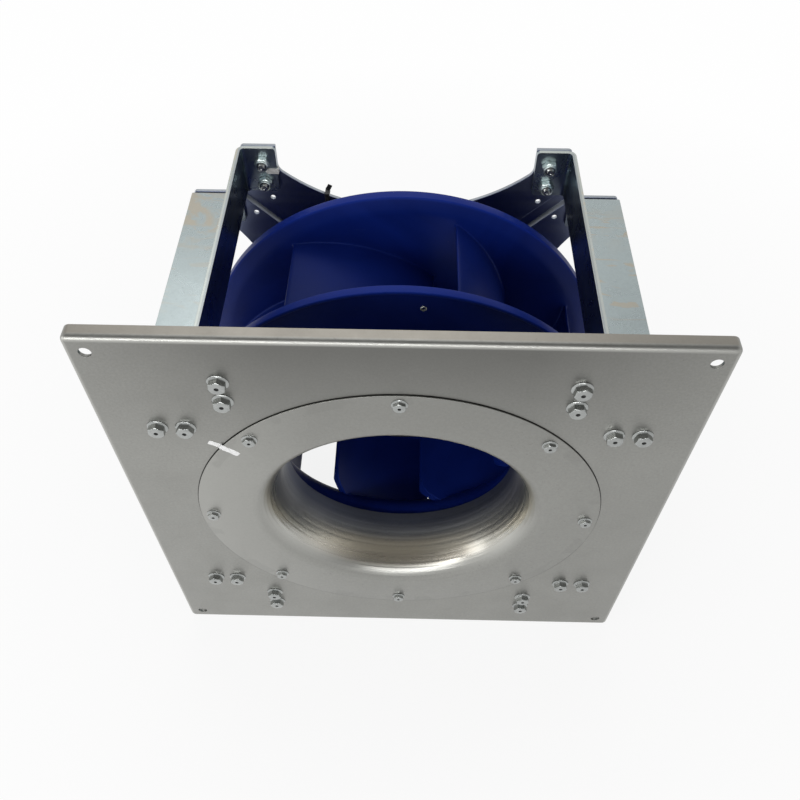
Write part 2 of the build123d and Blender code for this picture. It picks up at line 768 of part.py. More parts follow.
# Stator flange: bearing tube, disk, wall, foot ring on the carrier, and ribs between them
tube_front_y = front_bearing_y
shoulder_r = bearing_r - bearing_shoulder
shoulder_front_y = front_bearing_y + bearing_width
shoulder_rear_y = rear_bearing_y - spring_thickness
wall_inside_r = stator_wall_r - stator_wall
foot_y = cross_front - stator_foot_thickness
shaft_pocket_y = shaft_end_y + shaft_end_gap
housing_screw_places = ring_places(board_post_r, 4, 0)
with BuildPart() as stator_flange:
    with BuildSketch(Plane.XY):
        with BuildLine():
            Polyline((bearing_r, tube_front_y), (tube_r, tube_front_y), (tube_r, stator_disk_y),
                     (stator_wall_r, stator_disk_y), (stator_wall_r, foot_y),
                     (stator_foot_r, foot_y), (stator_foot_r, cross_front),
                     (wall_inside_r, cross_front),
                     (wall_inside_r, stator_disk_y + stator_disk_thickness),
                     (0, stator_disk_y + stator_disk_thickness),
                     (0, shaft_pocket_y), (bearing_r, shaft_pocket_y),
                     (bearing_r, shoulder_rear_y), (shoulder_r, shoulder_rear_y),
                     (shoulder_r, shoulder_front_y), (bearing_r, shoulder_front_y), close=True)
        make_face()
    revolve(axis=Axis.Y)
    rib_reach = stator_foot_r - stator_wall_r - stator_rib_set_back
    rib_turn = 360.0 / stator_rib_count
    with BuildSketch(across(stator_disk_y + stator_rib_set_back)):
        for step in range(stator_rib_count):
            with Locations(Rotation(0, 0, rib_turn * (step + 0.5))):
                with Locations((stator_wall_r - stator_rib_set_back, 0)):
                    Rectangle(rib_reach + stator_rib_set_back, stator_rib_thickness,
                              align=(Align.MIN, Align.CENTER))
    extrude(amount=-(foot_y - stator_disk_y))
    with BuildSketch(across(cross_front)):
        with Locations(*flat_points(motor_ring)):
            Circle(bolt_r + thread_gap)
    extrude(amount=stator_foot_thickness, mode=Mode.SUBTRACT)
    with BuildSketch(across(housing_front)):
        with Locations(*flat_points(housing_screw_places)):
            Circle(cover_screw_r + thread_gap)
    extrude(amount=housing_screw_hole_depth, mode=Mode.SUBTRACT)
save(stator_flange, "stator_flange")

# Wave spring that loads the rear bearing
with BuildPart() as preload_spring:
    with BuildSketch(across(shoulder_rear_y)):
        Circle(bearing_r - face_gap)
        Circle(shoulder_r, mode=Mode.SUBTRACT)
    extrude(amount=-spring_thickness)
save(preload_spring, "preload_spring")

# Motor screws from behind the carrier into the foot ring
motor_screw = flange_fastener(bolt_r, bolt_flats, bolt_head + bolt_flange_height, bolt_flange_r,
                              bolt_flange_height, frame_sheet + stator_foot_thickness)
with BuildPart() as motor_screws:
    with Locations(*ring_places(motor_screw_r, motor_screw_count, cross_rear,
                                360.0 / motor_screw_count / 2)):
        add(turned(motor_screw))
save(motor_screws, "motor_screws")

# Stator core: yoke, teeth and tooth tips, with open slots between them
yoke_r = tube_r + core_yoke
tip_inside_r = core_r - tooth_tip
tooth_pitch = 360.0 / tooth_count
with BuildPart() as stator_core:
    with BuildSketch(across(core_start_y)):
        Circle(core_r)
        with BuildSketch(mode=Mode.SUBTRACT):
            Circle(tip_inside_r)
            Circle(yoke_r, mode=Mode.SUBTRACT)
            with PolarLocations(0, tooth_count):
                Rectangle(core_r, tooth_width, align=(Align.MIN, Align.CENTER), mode=Mode.SUBTRACT)
        with PolarLocations(0, tooth_count, tooth_pitch / 2):
            with Locations((yoke_r + core_yoke, 0)):
                Rectangle(core_r, slot_mouth, align=(Align.MIN, Align.CENTER), mode=Mode.SUBTRACT)
        Circle(tube_r, mode=Mode.SUBTRACT)
    extrude(amount=-core_length)
save(stator_core, "stator_core")

# Coils, one round each tooth
coil_inner_r = yoke_r + coil_gap
coil_half_width = tooth_width / 2 + coil_gap + coil_thickness
coil_outer_r = sqrt(tip_inside_r ** 2 - coil_half_width ** 2) - coil_gap
coil_hole = tooth_width + 2 * coil_gap
coil_hole_length = core_length + 2 * coil_gap
core_mid_y = core_start_y + core_length / 2
with BuildPart() as stator_windings:
    for step in range(tooth_count):
        turn = tooth_pitch * step
        out = Vector(cos(radians(turn)), 0, sin(radians(turn)))
        with BuildSketch(Plane(origin=out * coil_inner_r + Vector(0, core_mid_y, 0),
                               x_dir=(0, 1, 0), z_dir=out)):
            Rectangle(coil_hole_length + 2 * coil_overhang, 2 * coil_half_width)
            Rectangle(coil_hole_length, coil_hole, mode=Mode.SUBTRACT)
        extrude(amount=coil_outer_r - coil_inner_r)
save(stator_windings, "stator_windings")

# Electronics housing: a finned pot with posts for the board and bosses for the cover
cover_ring = ring_places(cover_screw_circle_r, cover_screw_count, 0, 360.0 / cover_screw_count / 2)
board_posts = ring_places(board_post_r, 4, 0, 45.0)
housing_inside_r = housing_r - housing_wall
floor_y = housing_front + housing_floor
gland_seat_half = gland_flats / 2 + gland_seat_margin
gland_y = housing_rear - gland_seat_half
gland_seat_z = -(housing_r + housing_fin_height)
with BuildPart() as electronics_housing:
    with BuildSketch(across(housing_front)):
        Circle(housing_r)
    extrude(amount=-housing_depth)
    fin_turn = 360.0 / housing_fin_count
    with BuildSketch(across(housing_front)):
        for step in range(housing_fin_count):
            with Locations(Rotation(0, 0, fin_turn * (step + 0.5))):
                with Locations((housing_r - housing_wall / 2, 0)):
                    Rectangle(housing_fin_height + housing_wall / 2, housing_fin_thickness,
                              align=(Align.MIN, Align.CENTER))
    extrude(amount=-housing_depth)
    with BuildSketch(across(gland_y)):
        with Locations((0, gland_seat_z)):
            Rectangle(gland_spacing + gland_flats + housing_wall, gland_seat_height,
                      align=(Align.CENTER, Align.MIN))
    extrude(amount=gland_seat_half, both=True)
    with BuildSketch(across(floor_y)):
        Circle(housing_inside_r)
    extrude(amount=-(housing_depth - housing_floor), mode=Mode.SUBTRACT)
    with BuildSketch(across(floor_y)):
        with Locations(*flat_points(board_posts)):
            Circle(boss_r)
    extrude(amount=-board_post_height)
    with BuildSketch(across(floor_y)):
        with Locations(*flat_points(cover_ring)):
            Circle(boss_r)
        Circle(housing_inside_r, mode=Mode.INTERSECT)
    extrude(amount=-(housing_depth - housing_floor))
    with BuildSketch(across(housing_rear)):
        with Locations(*flat_points(cover_ring)):
            Circle(cover_screw_r + thread_gap)
    extrude(amount=cover_screw_hole_depth, mode=Mode.SUBTRACT)
    with BuildSketch(across(housing_front)):
        with Locations(*flat_points(housing_screw_places)):
            Circle(cover_screw_r + thread_gap)
    extrude(amount=-housing_floor, mode=Mode.SUBTRACT)
    with BuildSketch(Plane.XY.offset(gland_seat_z)):
        with Locations((-gland_spacing / 2, gland_y), (gland_spacing / 2, gland_y)):
            Circle(gland_r + thread_gap)
    extrude(amount=gland_hole_depth, mode=Mode.SUBTRACT)
save(electronics_housing, "electronics_housing")


def pan_screw(radius, length):
    """Screw with a low round head that points forwards, and its shank rearwards from y = 0."""
    with BuildPart() as screw:
        with BuildSketch(across(0)):
            Circle(pan_head_share * radius)
        extrude(amount=radius, taper=pan_head_taper)
        with BuildSketch(across(0)):
            Circle(radius)
        extrude(amount=-length)
    return screw.part


# Screws from inside the housing into the stator disk
housing_screw = turned(pan_screw(cover_screw_r, housing_floor + housing_screw_grip))
with BuildPart() as housing_screws:
    with Locations(*ring_places(board_post_r, 4, floor_y)):
        add(housing_screw)
save(housing_screws, "housing_screws")

# Circuit board on its posts, and what stands on it
board_r = cover_screw_circle_r - boss_r - board_gap
with BuildPart() as circuit_board:
    with BuildSketch(across(board_y)):
        Circle(board_r)
    extrude(amount=-board_thickness)
save(circuit_board, "circuit_board")
component_y = board_y + board_thickness
with BuildPart() as board_components:
    with BuildSketch(across(component_y)):
        with Locations((0, capacitor_row_z)):
            with GridLocations(capacitor_pitch, 0, 3, 1):
                Circle(capacitor_r)
    extrude(amount=-capacitor_height)
    with BuildSketch(across(component_y)):
        with Locations(choke_place):
            Circle(choke_r)
            Circle(choke_bore_r, mode=Mode.SUBTRACT)
    extrude(amount=-choke_height)
    with BuildSketch(across(component_y)):
        with Locations(module_place):
            Rectangle(module_size[0], module_size[1])
    extrude(amount=-module_size[2])
    with BuildSketch(across(component_y)):
        with Locations((0, terminal_row_z)):
            Rectangle(terminal_size[0], terminal_size[1])
    extrude(amount=-terminal_size[2])
save(board_components, "board_components")

# Gasket and domed cover of the electronics, with its screws
cover_r = housing_r + housing_fin_height
with BuildPart() as cover_gasket:
    with BuildSketch(across(housing_rear)):
        Circle(housing_r)
        Circle(cover_screw_circle_r - boss_r, mode=Mode.SUBTRACT)
        with Locations(*flat_points(cover_ring)):
            Circle(cover_screw_r + face_gap, mode=Mode.SUBTRACT)
    extrude(amount=-gasket_thickness)
save(cover_gasket, "cover_gasket")
dome_r = cover_screw_circle_r - 2 * boss_r
with BuildPart() as electronics_cover:
    with BuildSketch(across(cover_front)):
        Circle(cover_r)
    extrude(amount=-cover_thickness)
    with BuildSketch(across(cover_front + cover_thickness)):
        Circle(dome_r)
    extrude(amount=-cover_dome, taper=cover_dome_taper)
    with BuildSketch(across(cover_front)):
        Circle(dome_r - cover_thickness)
    extrude(amount=-cover_dome, mode=Mode.SUBTRACT)
    with BuildSketch(across(cover_front)):
        with Locations(*flat_points(cover_ring)):
            Circle(cover_screw_r + face_gap)
    extrude(amount=-cover_thickness, mode=Mode.SUBTRACT)
save(electronics_cover, "electronics_cover")
cover_screw_length = cover_thickness + gasket_thickness + cover_screw_grip
cover_screw = turned(pan_screw(cover_screw_r, cover_screw_length))
with BuildPart() as cover_screws:
    with Locations(*ring_places(cover_screw_circle_r, cover_screw_count,
                                cover_front + cover_thickness, 360.0 / cover_screw_count / 2)):
        add(cover_screw)
save(cover_screws, "cover_screws")

# Cable glands under the housing
gland_points = ((-gland_spacing / 2, gland_y), (gland_spacing / 2, gland_y))
with BuildPart() as cable_glands:
    with BuildSketch(Plane.XY.offset(gland_seat_z)):
        with Locations(*gland_points):
            RegularPolygon(gland_flats / 2, 6, major_radius=False)
    extrude(amount=-gland_nut_height)
    with BuildSketch(Plane.XY.offset(gland_seat_z - gland_nut_height)):
        with Locations(*gland_points):
            Circle(gland_dome_r)
    extrude(amount=-gland_dome_height, taper=gland_dome_taper)
    with BuildSketch(Plane.XY.offset(gland_seat_z)):
        with Locations(*gland_points):
            Circle(gland_r)
    extrude(amount=gland_nut_height)
    with BuildSketch(Plane.XY.offset(gland_seat_z + gland_nut_height)):
        with Locations(*gland_points):
            Circle(gland_bore_r)
    extrude(amount=-(2 * gland_nut_height + gland_dome_height), mode=Mode.SUBTRACT)
save(cable_glands, "cable_glands")

# Edge clip on the front of the top left strut's rear flange, bent round the flange's edge
clip_edge = -(flange_edge - clip_edge_gap)
clip_front = frame_depth - frame_sheet - clip_thickness
clip_z = bolt_rows[1] - clip_drop
with BuildPart() as edge_clip:
    with BuildSketch(Plane.XY.offset(clip_z)):
        with Locations((clip_edge + clip_thickness, clip_front)):
            Rectangle(clip_reach + clip_thickness, clip_thickness, align=(Align.MAX, Align.MIN))
            Rectangle(clip_thickness, clip_thickness + frame_sheet, align=(Align.MAX, Align.MIN))
    extrude(amount=clip_width / 2, both=True)
    chamfer(edge_clip.edges().filter_by(Axis.Y).group_by(Axis.X)[0], clip_point)
save(edge_clip, "edge_clip")

# Cable tie through its hole and over the carrier's edge, with a head and a cut tail
tie_low = tie_height - tie_hole_depth - tie_strap
tie_top = tie_height + tie_rise
with BuildPart() as cable_tie:
    with BuildSketch(Plane.YZ.offset(-tie_side)):
        with Locations(((cross_front + cross_rear) / 2, tie_low)):
            Rectangle(frame_sheet + 2 * (tie_strap + face_gap), tie_top - tie_low + tie_strap,
                      align=(Align.CENTER, Align.MIN))
        with Locations(((cross_front + cross_rear) / 2, tie_low + tie_strap)):
            Rectangle(frame_sheet + 2 * face_gap, tie_top - tie_low - tie_strap,
                      align=(Align.CENTER, Align.MIN), mode=Mode.SUBTRACT)
    extrude(amount=tie_width / 2, both=True)
    with BuildSketch(Plane.YZ.offset(-tie_side)):
        with Locations((cross_rear + tie_strap, tie_top - tie_strap)):
            Rectangle(tie_width, tie_width, align=(Align.MIN, Align.CENTER))
    extrude(amount=tie_width / 2, both=True)
    with BuildSketch(across(cross_rear + tie_strap + tie_width / 2)):
        with Locations(Location((-tie_side, tie_top), tie_tail_lean)):
            Rectangle(tie_width, tie_tail_length, align=(Align.CENTER, Align.MIN))
    extrude(amount=-tie_strap)
save(cable_tie, "cable_tie")

# Balance clips on the shroud's front face, opposite each other
balance_clip_r = impeller_r - balance_clip_inset
with BuildPart() as balance_clips:
    with BuildSketch(across(shroud_front_y)):
        with Locations(*flat_points(ring_places(balance_clip_r, 2, 0, balance_clip_angle))):
            Rectangle(balance_clip_size, balance_clip_size)
    extrude(amount=balance_clip_thickness)
save(balance_clips, "balance_clips")
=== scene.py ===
"""Centrifugal plug fan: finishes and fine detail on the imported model, and a stage for it.

X points right and Z up, seen from the inlet side, and Y runs rearwards along the fan's axis.
"""

import json
from math import ceil, cos, pi, radians, sin, sqrt, tan
from random import Random

import bmesh
import bpy
from bpy.props import FloatProperty, FloatVectorProperty, IntProperty, PointerProperty
from bpy.types import Operator, Panel, PropertyGroup
from mathutils import Matrix, Vector

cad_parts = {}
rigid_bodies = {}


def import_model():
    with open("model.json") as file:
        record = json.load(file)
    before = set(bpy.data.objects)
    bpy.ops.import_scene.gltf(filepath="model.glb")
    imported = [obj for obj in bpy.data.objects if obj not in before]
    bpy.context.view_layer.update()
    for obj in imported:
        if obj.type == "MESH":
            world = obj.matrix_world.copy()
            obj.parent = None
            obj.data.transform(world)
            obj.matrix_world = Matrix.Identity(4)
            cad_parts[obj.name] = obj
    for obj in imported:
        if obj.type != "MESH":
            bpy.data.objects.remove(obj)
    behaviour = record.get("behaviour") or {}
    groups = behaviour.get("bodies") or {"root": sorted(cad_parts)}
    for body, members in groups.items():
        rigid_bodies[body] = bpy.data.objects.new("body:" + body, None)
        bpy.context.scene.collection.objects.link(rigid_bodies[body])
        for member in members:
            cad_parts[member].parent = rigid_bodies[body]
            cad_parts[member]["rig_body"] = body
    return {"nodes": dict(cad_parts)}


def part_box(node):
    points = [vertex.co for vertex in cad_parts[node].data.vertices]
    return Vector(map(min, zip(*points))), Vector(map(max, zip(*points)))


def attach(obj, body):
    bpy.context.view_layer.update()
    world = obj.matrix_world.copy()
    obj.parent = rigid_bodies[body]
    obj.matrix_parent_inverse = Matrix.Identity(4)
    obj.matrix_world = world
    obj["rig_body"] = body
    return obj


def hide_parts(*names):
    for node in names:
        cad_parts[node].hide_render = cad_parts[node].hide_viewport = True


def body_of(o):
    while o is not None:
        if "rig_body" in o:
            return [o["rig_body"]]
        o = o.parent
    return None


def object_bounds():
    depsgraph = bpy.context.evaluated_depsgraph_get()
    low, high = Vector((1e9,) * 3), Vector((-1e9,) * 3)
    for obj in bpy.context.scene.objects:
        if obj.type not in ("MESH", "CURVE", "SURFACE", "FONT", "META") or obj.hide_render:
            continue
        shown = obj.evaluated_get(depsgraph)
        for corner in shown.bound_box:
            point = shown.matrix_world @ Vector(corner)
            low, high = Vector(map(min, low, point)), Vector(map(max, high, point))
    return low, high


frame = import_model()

bl_info = {
    "name": "Centrifugal Plug Fan",
    "version": (1, 0, 0),
    "blender": (4, 5, 0),
    "location": "View3D > Sidebar > Fan",
    "description": "Dresses a plug fan in galvanised steel and dark blue plastic",
    "category": "Object",
}

CAD_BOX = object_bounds()
MM = 0.001

# Places where the finishes change, in metres
PLATE_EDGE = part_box("front_plate")[1].x
NOZZLE_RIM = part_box("inlet_nozzle")[1].x
IMPELLER_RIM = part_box("impeller_shroud")[1].x
STRUT_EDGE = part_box("strut_top_right")[1].x
STRUT_INSIDE = 0.1601
STRUT_BACK_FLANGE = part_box("rear_cross_plate")[0].y - 0.004
CARRIER_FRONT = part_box("rear_cross_plate")[0].y

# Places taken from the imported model, in millimetres like every size below but the lamps'
NOZZLE_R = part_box("inlet_nozzle")[1].x / MM
NOZZLE_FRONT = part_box("inlet_nozzle")[0].y / MM
NOZZLE_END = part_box("inlet_nozzle")[1].y / MM
FRAME_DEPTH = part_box("rear_cross_plate")[0].y / MM
IMPELLER_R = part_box("impeller_shroud")[1].x / MM
SHROUD_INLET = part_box("impeller_shroud")[0].y / MM
SHROUD_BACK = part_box("impeller_shroud")[1].y / MM
BACK_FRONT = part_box("impeller_back_plate")[0].y / MM
BACK_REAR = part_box("impeller_back_plate")[1].y / MM
HUB_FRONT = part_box("hub_ring")[0].y / MM
COVER_RIB = 5.0
COVER_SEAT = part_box("electronics_cover")[1].y / MM - COVER_RIB
GLAND_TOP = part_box("cable_glands")[1].z / MM
GLAND_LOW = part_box("cable_glands")[0].z / MM
GLAND_MIDDLE = (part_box("cable_glands")[0].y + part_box("cable_glands")[1].y) / 2 / MM

# Sheet metal
PLATE_SHEET = 3.0
FRAME_SHEET = 4.0
STRUT_BACK = PLATE_SHEET + FRAME_SHEET
FLANGE_FRONT = FRAME_DEPTH - FRAME_SHEET
CARRIER_BACK = FRAME_DEPTH + FRAME_SHEET

# Rounding of edges that no setting covers
TAB_EDGE = 0.15
TIE_EDGE = 0.25
HUB_EDGE = 0.3
NOZZLE_EDGE = 0.45

# Least turn of an outline that is rounded, and of a surface that shows as an edge, in degrees
SHARP_TURN = 20.0
PIECE_SMOOTH = 32.0
FASTENER_SMOOTH = 28.0
BLADE_SMOOTH = 50.0

# Inlet nozzle
NOZZLE_SHEET = 1.5
NOZZLE_END_R = 113.9
BELL_WIDTH = 27.5
BELL_CENTRE_R = NOZZLE_END_R + BELL_WIDTH
BELL_DEPTH = NOZZLE_END - NOZZLE_FRONT
AIR_SIDE_STEPS = 110
REAR_SIDE_STEPS = 60

# Impeller
IMPELLER_WALL = 3.5
RIM_INNER_R = IMPELLER_R - IMPELLER_WALL
SHROUD_FRONT = SHROUD_BACK - IMPELLER_WALL
SHROUD_INLET_R = 118.5
SHROUD_BEND_R = 36.2
SHROUD_BEND_CENTRE_R = SHROUD_INLET_R + SHROUD_BEND_R
SHROUD_BEND_Y = SHROUD_BACK - SHROUD_BEND_R
SHROUD_BEND_STEPS = 24
SHROUD_LIP = 8.7
BACK_WALL = 4.0
BACK_BORE_R = 82.2
BACK_CONE_WIDTH = 14.0
BACK_CONE_DROP = 5.0
BACK_CONE_BLEND = 24.0
BLEND_STEPS = 8
CLIP_RING_R = 184.0
CLIP_ANGLE = 84.2

# Impeller blades, whose free front edge meets the shroud at the root angle of its bend
BLADE_COUNT = 7
BLADE_TAIL_R = 185.0
BLADE_NOSE_R = 115.0
BLADE_WRAP = 49.5
BLADE_BULGE = 16.2
BLADE_NOSE_THICKNESS = 4.4
BLADE_TAIL_THICKNESS = 2.4
BLADE_FIRST_ANGLE = 22.8
BLADE_ROOT_ANGLE = radians(32.0)
BLADE_ROOT_R = SHROUD_BEND_CENTRE_R - SHROUD_BEND_R * cos(BLADE_ROOT_ANGLE)
BLADE_ROOT_Y = SHROUD_BEND_Y + SHROUD_BEND_R * sin(BLADE_ROOT_ANGLE)
BLADE_FILLET = 1.8
BLADE_HOLD = 3.0
FREE_EDGE_DROP = 28.0
FREE_EDGE_PULL = 8.5
BLADE_STEPS = 44
BLADE_ROWS = 14
NOSE_STEPS = 8
TAIL_STEPS = 4

# Flange bolts: thread radius, flats, head height, flange radius and height, pitch, thread length
M8_BOLT = (4.0, 13.0, 7.2, 8.9, 1.6, 1.25, 4.0)
M6_BOLT = (3.0, 10.0, 4.6, 6.9, 1.2, 1.0, 3.4)

# Lock nuts: thread radius, flats, height, collar height
M8_NUT = (4.0, 13.0, 8.0, 2.2)
M6_NUT = (3.0, 10.0, 6.0, 1.6)
COLLAR_SHARE = 0.9

# Lengths of the fasteners under their heads, and the cover screws' radius and length
FRONT_BOLT = STRUT_BACK + 8.0 + 3.0
REAR_BOLT = 2 * FRAME_SHEET + 8.0 + 3.0
NOZZLE_SCREW = NOZZLE_SHEET + PLATE_SHEET + 6.0 + 2.5
MOTOR_SCREW = FRAME_SHEET + 7.0
HUB_SCREW = 13.0
COVER_SCREW = (2.5, 12.5)

# Fastener places
BOLT_LINE = 140.7
BOLT_ROWS = (177.7, 201.3)
NOZZLE_SCREW_R = 179.0
MOTOR_SCREW_R = 124.0
HUB_SCREW_R = 92.0
COVER_SCREW_R = 91.0

# Cable glands
GLAND_SPACING = 52.0
GLAND_THREAD = 7.0
GLAND_BORE = 5.0

# Strokes of the witness mark: start and end in X and Z, width, surface depth, phase of the edges
PAINT_STROKES = (((-162.7, 120.2), (-152.4, 114.6), 5.6, 0.0, 0.4),
                 ((-153.6, 116.2), (-138.9, 104.0), 6.2, NOZZLE_FRONT, 2.1))
STROKE_STEPS = 22

# Lamps: place, width and height in metres, and the point that all of them face
LAMPS = (("overhead_lamp", (-0.2, 1.1, 2.0), 1.6, 1.6),
         ("front_lamp", (-0.48, -1.45, 1.05), 2.6, 0.34),
         ("left_lamp", (-1.84, -0.35, 0.46), 1.1, 0.6))
LAMP_AIM = (0.0, 0.1, 0.0)
FLOOR_HALF = 12.0


class FanFinishSettings(PropertyGroup):
    plate_tone: FloatVectorProperty(
        name="Plate", description="Colour of the galvanised mounting plate",
        subtype="COLOR", default=(0.35, 0.35, 0.33), min=0, max=1)
    strut_tone: FloatVectorProperty(
        name="Struts", description="Colour of the galvanised struts",
        subtype="COLOR", default=(0.42, 0.48, 0.485), min=0, max=1)
    carrier_tone: FloatVectorProperty(
        name="Carrier", description="Colour of the motor carrier",
        subtype="COLOR", default=(0.40, 0.43, 0.46), min=0, max=1)
    stain_tone: FloatVectorProperty(
        name="Stains", description="Colour of the tan stains on the struts",
        subtype="COLOR", default=(0.50, 0.42, 0.31), min=0, max=1)
    zinc_tone: FloatVectorProperty(
        name="Fasteners", description="Colour of the bright zinc plating",
        subtype="COLOR", default=(0.45, 0.465, 0.455), min=0, max=1)
    impeller_tone: FloatVectorProperty(
        name="Impeller", description="Colour of the moulded impeller",
        subtype="COLOR", default=(0.003, 0.012, 0.125), min=0, max=1)
    casting_tone: FloatVectorProperty(
        name="Castings", description="Colour of the cast motor parts",
        subtype="COLOR", default=(0.36, 0.365, 0.37), min=0, max=1)
    paint_tone: FloatVectorProperty(
        name="Witness paint", description="Colour of the paint mark across the nozzle's edge",
        subtype="COLOR", default=(0.95, 0.95, 0.94), min=0, max=1)


class FanDetailSettings(PropertyGroup):
    sheet_edge: FloatProperty(
        name="Sheet edge", description="Rounding of the frame's cut sheet edges, in millimetres",
        default=0.35, min=0.05, max=1.5)
    casting_edge: FloatProperty(
        name="Casting edge", description="Rounding of the castings' edges, in millimetres",
        default=0.6, min=0.05, max=1.5)
    moulded_edge: FloatProperty(
        name="Moulded edge", description="Rounding of the impeller's edges, in millimetres",
        default=0.8, min=0.1, max=1.2)
    spin_ripple: FloatProperty(
        name="Spinning marks", description="Height of the nozzle's spinning marks, in millimetres",
        default=0.035, min=0, max=0.2)
    round_steps: IntProperty(
        name="Round steps", description="Faces round the nozzle and the impeller's disks",
        default=240, min=48, max=720)
    seed: IntProperty(
        name="Seed", description="Start of the draws that turn the bolts and tilt the marks",
        default=11, min=0)


class FanStageSettings(PropertyGroup):
    camera_place: FloatVectorProperty(
        name="Camera place", description="Where the camera stands",
        subtype="TRANSLATION", unit="LENGTH", default=(0.00675, -0.3932, 0.6918))
    camera_turn: FloatVectorProperty(
        name="Camera turn", description="How the camera is turned",
        subtype="EULER", unit="ROTATION",
        default=(radians(37.745), radians(-0.209), radians(1.204)))
    camera_lens: FloatProperty(
        name="Focal length", description="Focal length on a sensor 36 mm wide",
        default=36.69, min=10, max=200)
    overhead_power: FloatProperty(
        name="Overhead power", description="Power of the large overhead lamp",
        unit="POWER", default=9.0, min=0)
    front_power: FloatProperty(
        name="Front power", description="Power of the long soft lamp in front of the inlet",
        unit="POWER", default=17.0, min=0)
    left_power: FloatProperty(
        name="Left power", description="Power of the small soft lamp at the left",
        unit="POWER", default=3.2, min=0)
    world_level: FloatProperty(
        name="World level", description="Brightness of the surroundings on plain surfaces",
        default=0.45, min=0, max=2)


class NodeKit:
    """Adds shader nodes to a tree and joins them."""

    def __init__(self, tree):
        self.tree = tree

    def fill(self, socket, value):
        """Links a socket or sets it, with an alpha of 1 for a colour, but not for None."""
        if isinstance(value, bpy.types.NodeSocket):
            self.tree.links.new(value, socket)
        elif value is not None:
            socket.default_value = (*value, 1.0) if socket.type == "RGBA" else value

    def put(self, kind, inputs=(), **settings):
        """Adds a node, sets its properties, and fills its inputs by number or by name."""
        node = self.tree.nodes.new("ShaderNode" + kind)
        for key, value in settings.items():
            setattr(node, key, value)
        for key, value in dict(inputs).items():
            self.fill(node.inputs[key], value)
        return node

    def calc(self, operation, first, second=0.0):
        return self.put("Math", {0: first, 1: second}, operation=operation).outputs[0]

    def times(self, first, *others):
        """The product of two or more values."""
        for value in others:
            first = self.calc("MULTIPLY", first, value)
        return first

    def distance(self, first, second):
        """The length of a vector from its two sides."""
        return self.calc("SQRT", self.calc("ADD", self.times(first, first),
                                           self.times(second, second)))

    def ramp(self, source, low, high, start=0.0, end=1.0):
        """Source mapped so that low gives start and high gives end, and cut off beyond them."""
        return self.put("MapRange", {"Value": source, "From Min": low, "From Max": high,
                                     "To Min": start, "To Max": end}).outputs[0]

    def band(self, source, low, high, soft):
        """1 where the source lies between low and high, with soft shoulders."""
        return self.times(self.ramp(source, low - soft, low),
                          self.ramp(source, high, high + soft, 1, 0))


class Finish(NodeKit):
    """A node material in the object's own coordinates, whose colour is laid on in coats."""

    def __init__(self, name):
        self.material = bpy.data.materials.new(name)
        self.material.use_nodes = True
        super().__init__(self.material.node_tree)
        self.shader = self.tree.nodes["Principled BSDF"]
        self.place = self.put("TexCoord").outputs["Object"]
        self.colour = None

    def stretched(self, scale, turn=(0, 0, 0), shift=(0, 0, 0)):
        """The object's coordinates, scaled differently along each axis."""
        return self.put("Mapping", {"Vector": self.place, "Scale": scale, "Rotation": turn,
                                    "Location": shift}).outputs[0]

    def axes(self):
        """The object's X, Y and Z, each as a value."""
        return self.put("SeparateXYZ", {0: self.place}).outputs

    def reach(self):
        """The distance from the fan's axis."""
        x, _, z = self.axes()
        return self.distance(x, z)

    def noise(self, scale, detail=4.0, roughness=0.5, place=None, distortion=0.0):
        return self.put("TexNoise", {"Vector": place or self.place, "Scale": scale,
                                     "Detail": detail, "Roughness": roughness,
                                     "Distortion": distortion}).outputs[0]

    def blend(self, factor, first, second):
        return self.put("Mix", {0: factor, 6: first, 7: second}, data_type="RGBA").outputs[2]

    def coat(self, amount, tone):
        """Lays a tone over the colour so far, as thickly as the amount says."""
        self.colour = self.blend(amount, self.colour, tone)

    def bump(self, height, strength, depth, under=None):
        return self.put("Bump", {"Height": height, "Strength": strength, "Distance": depth,
                                 "Normal": under}).outputs[0]

    def done(self, roughness, normal=None, metallic=1.0, **others):
        """Gives the shader its values, where an underscore in a name stands for a space."""
        values = dict(Base_Color=self.colour, Roughness=roughness, Normal=normal,
                      Metallic=metallic, **others)
        for key, value in values.items():
            self.fill(self.shader.inputs[key.replace("_", " ")], value)
        return self.material


def shade(colour, *levels):
    """The colour made lighter or darker, by one factor or by one for each channel."""
    return tuple(min(1.0, channel * level) for channel, level in zip(colour, levels * 3))


def zinc_ground(skin, tone, speckle):
    """Galvanised skin: a fine speckle, faint clouds and a few thin scratches."""
    grain = skin.calc("ADD", skin.times(skin.noise(1500, 2, 0.6), 0.4),
                      skin.times(skin.noise(430, 3, 0.6), 0.6))
    skin.colour = skin.blend(skin.ramp(grain, 0.36, 0.64), shade(tone, 1 - speckle),
                             shade(tone, 1 + speckle))
    clouds = skin.noise(9, 5, 0.62, distortion=0.8)
    skin.coat(skin.ramp(clouds, 0.42, 0.68, 0, 0.30), shade(tone, 0.86))
    specks = skin.noise(330, 1, 0.4)
    skin.coat(skin.ramp(specks, 0.74, 0.77, 0, 0.3), shade(tone, 0.55))
    scratches = skin.noise(1.0, 2, 0.5, skin.stretched((16, 16, 620), (0, radians(38), 0)))
    skin.coat(skin.ramp(scratches, 0.735, 0.76, 0, 0.25), shade(tone, 1.35))
    return grain


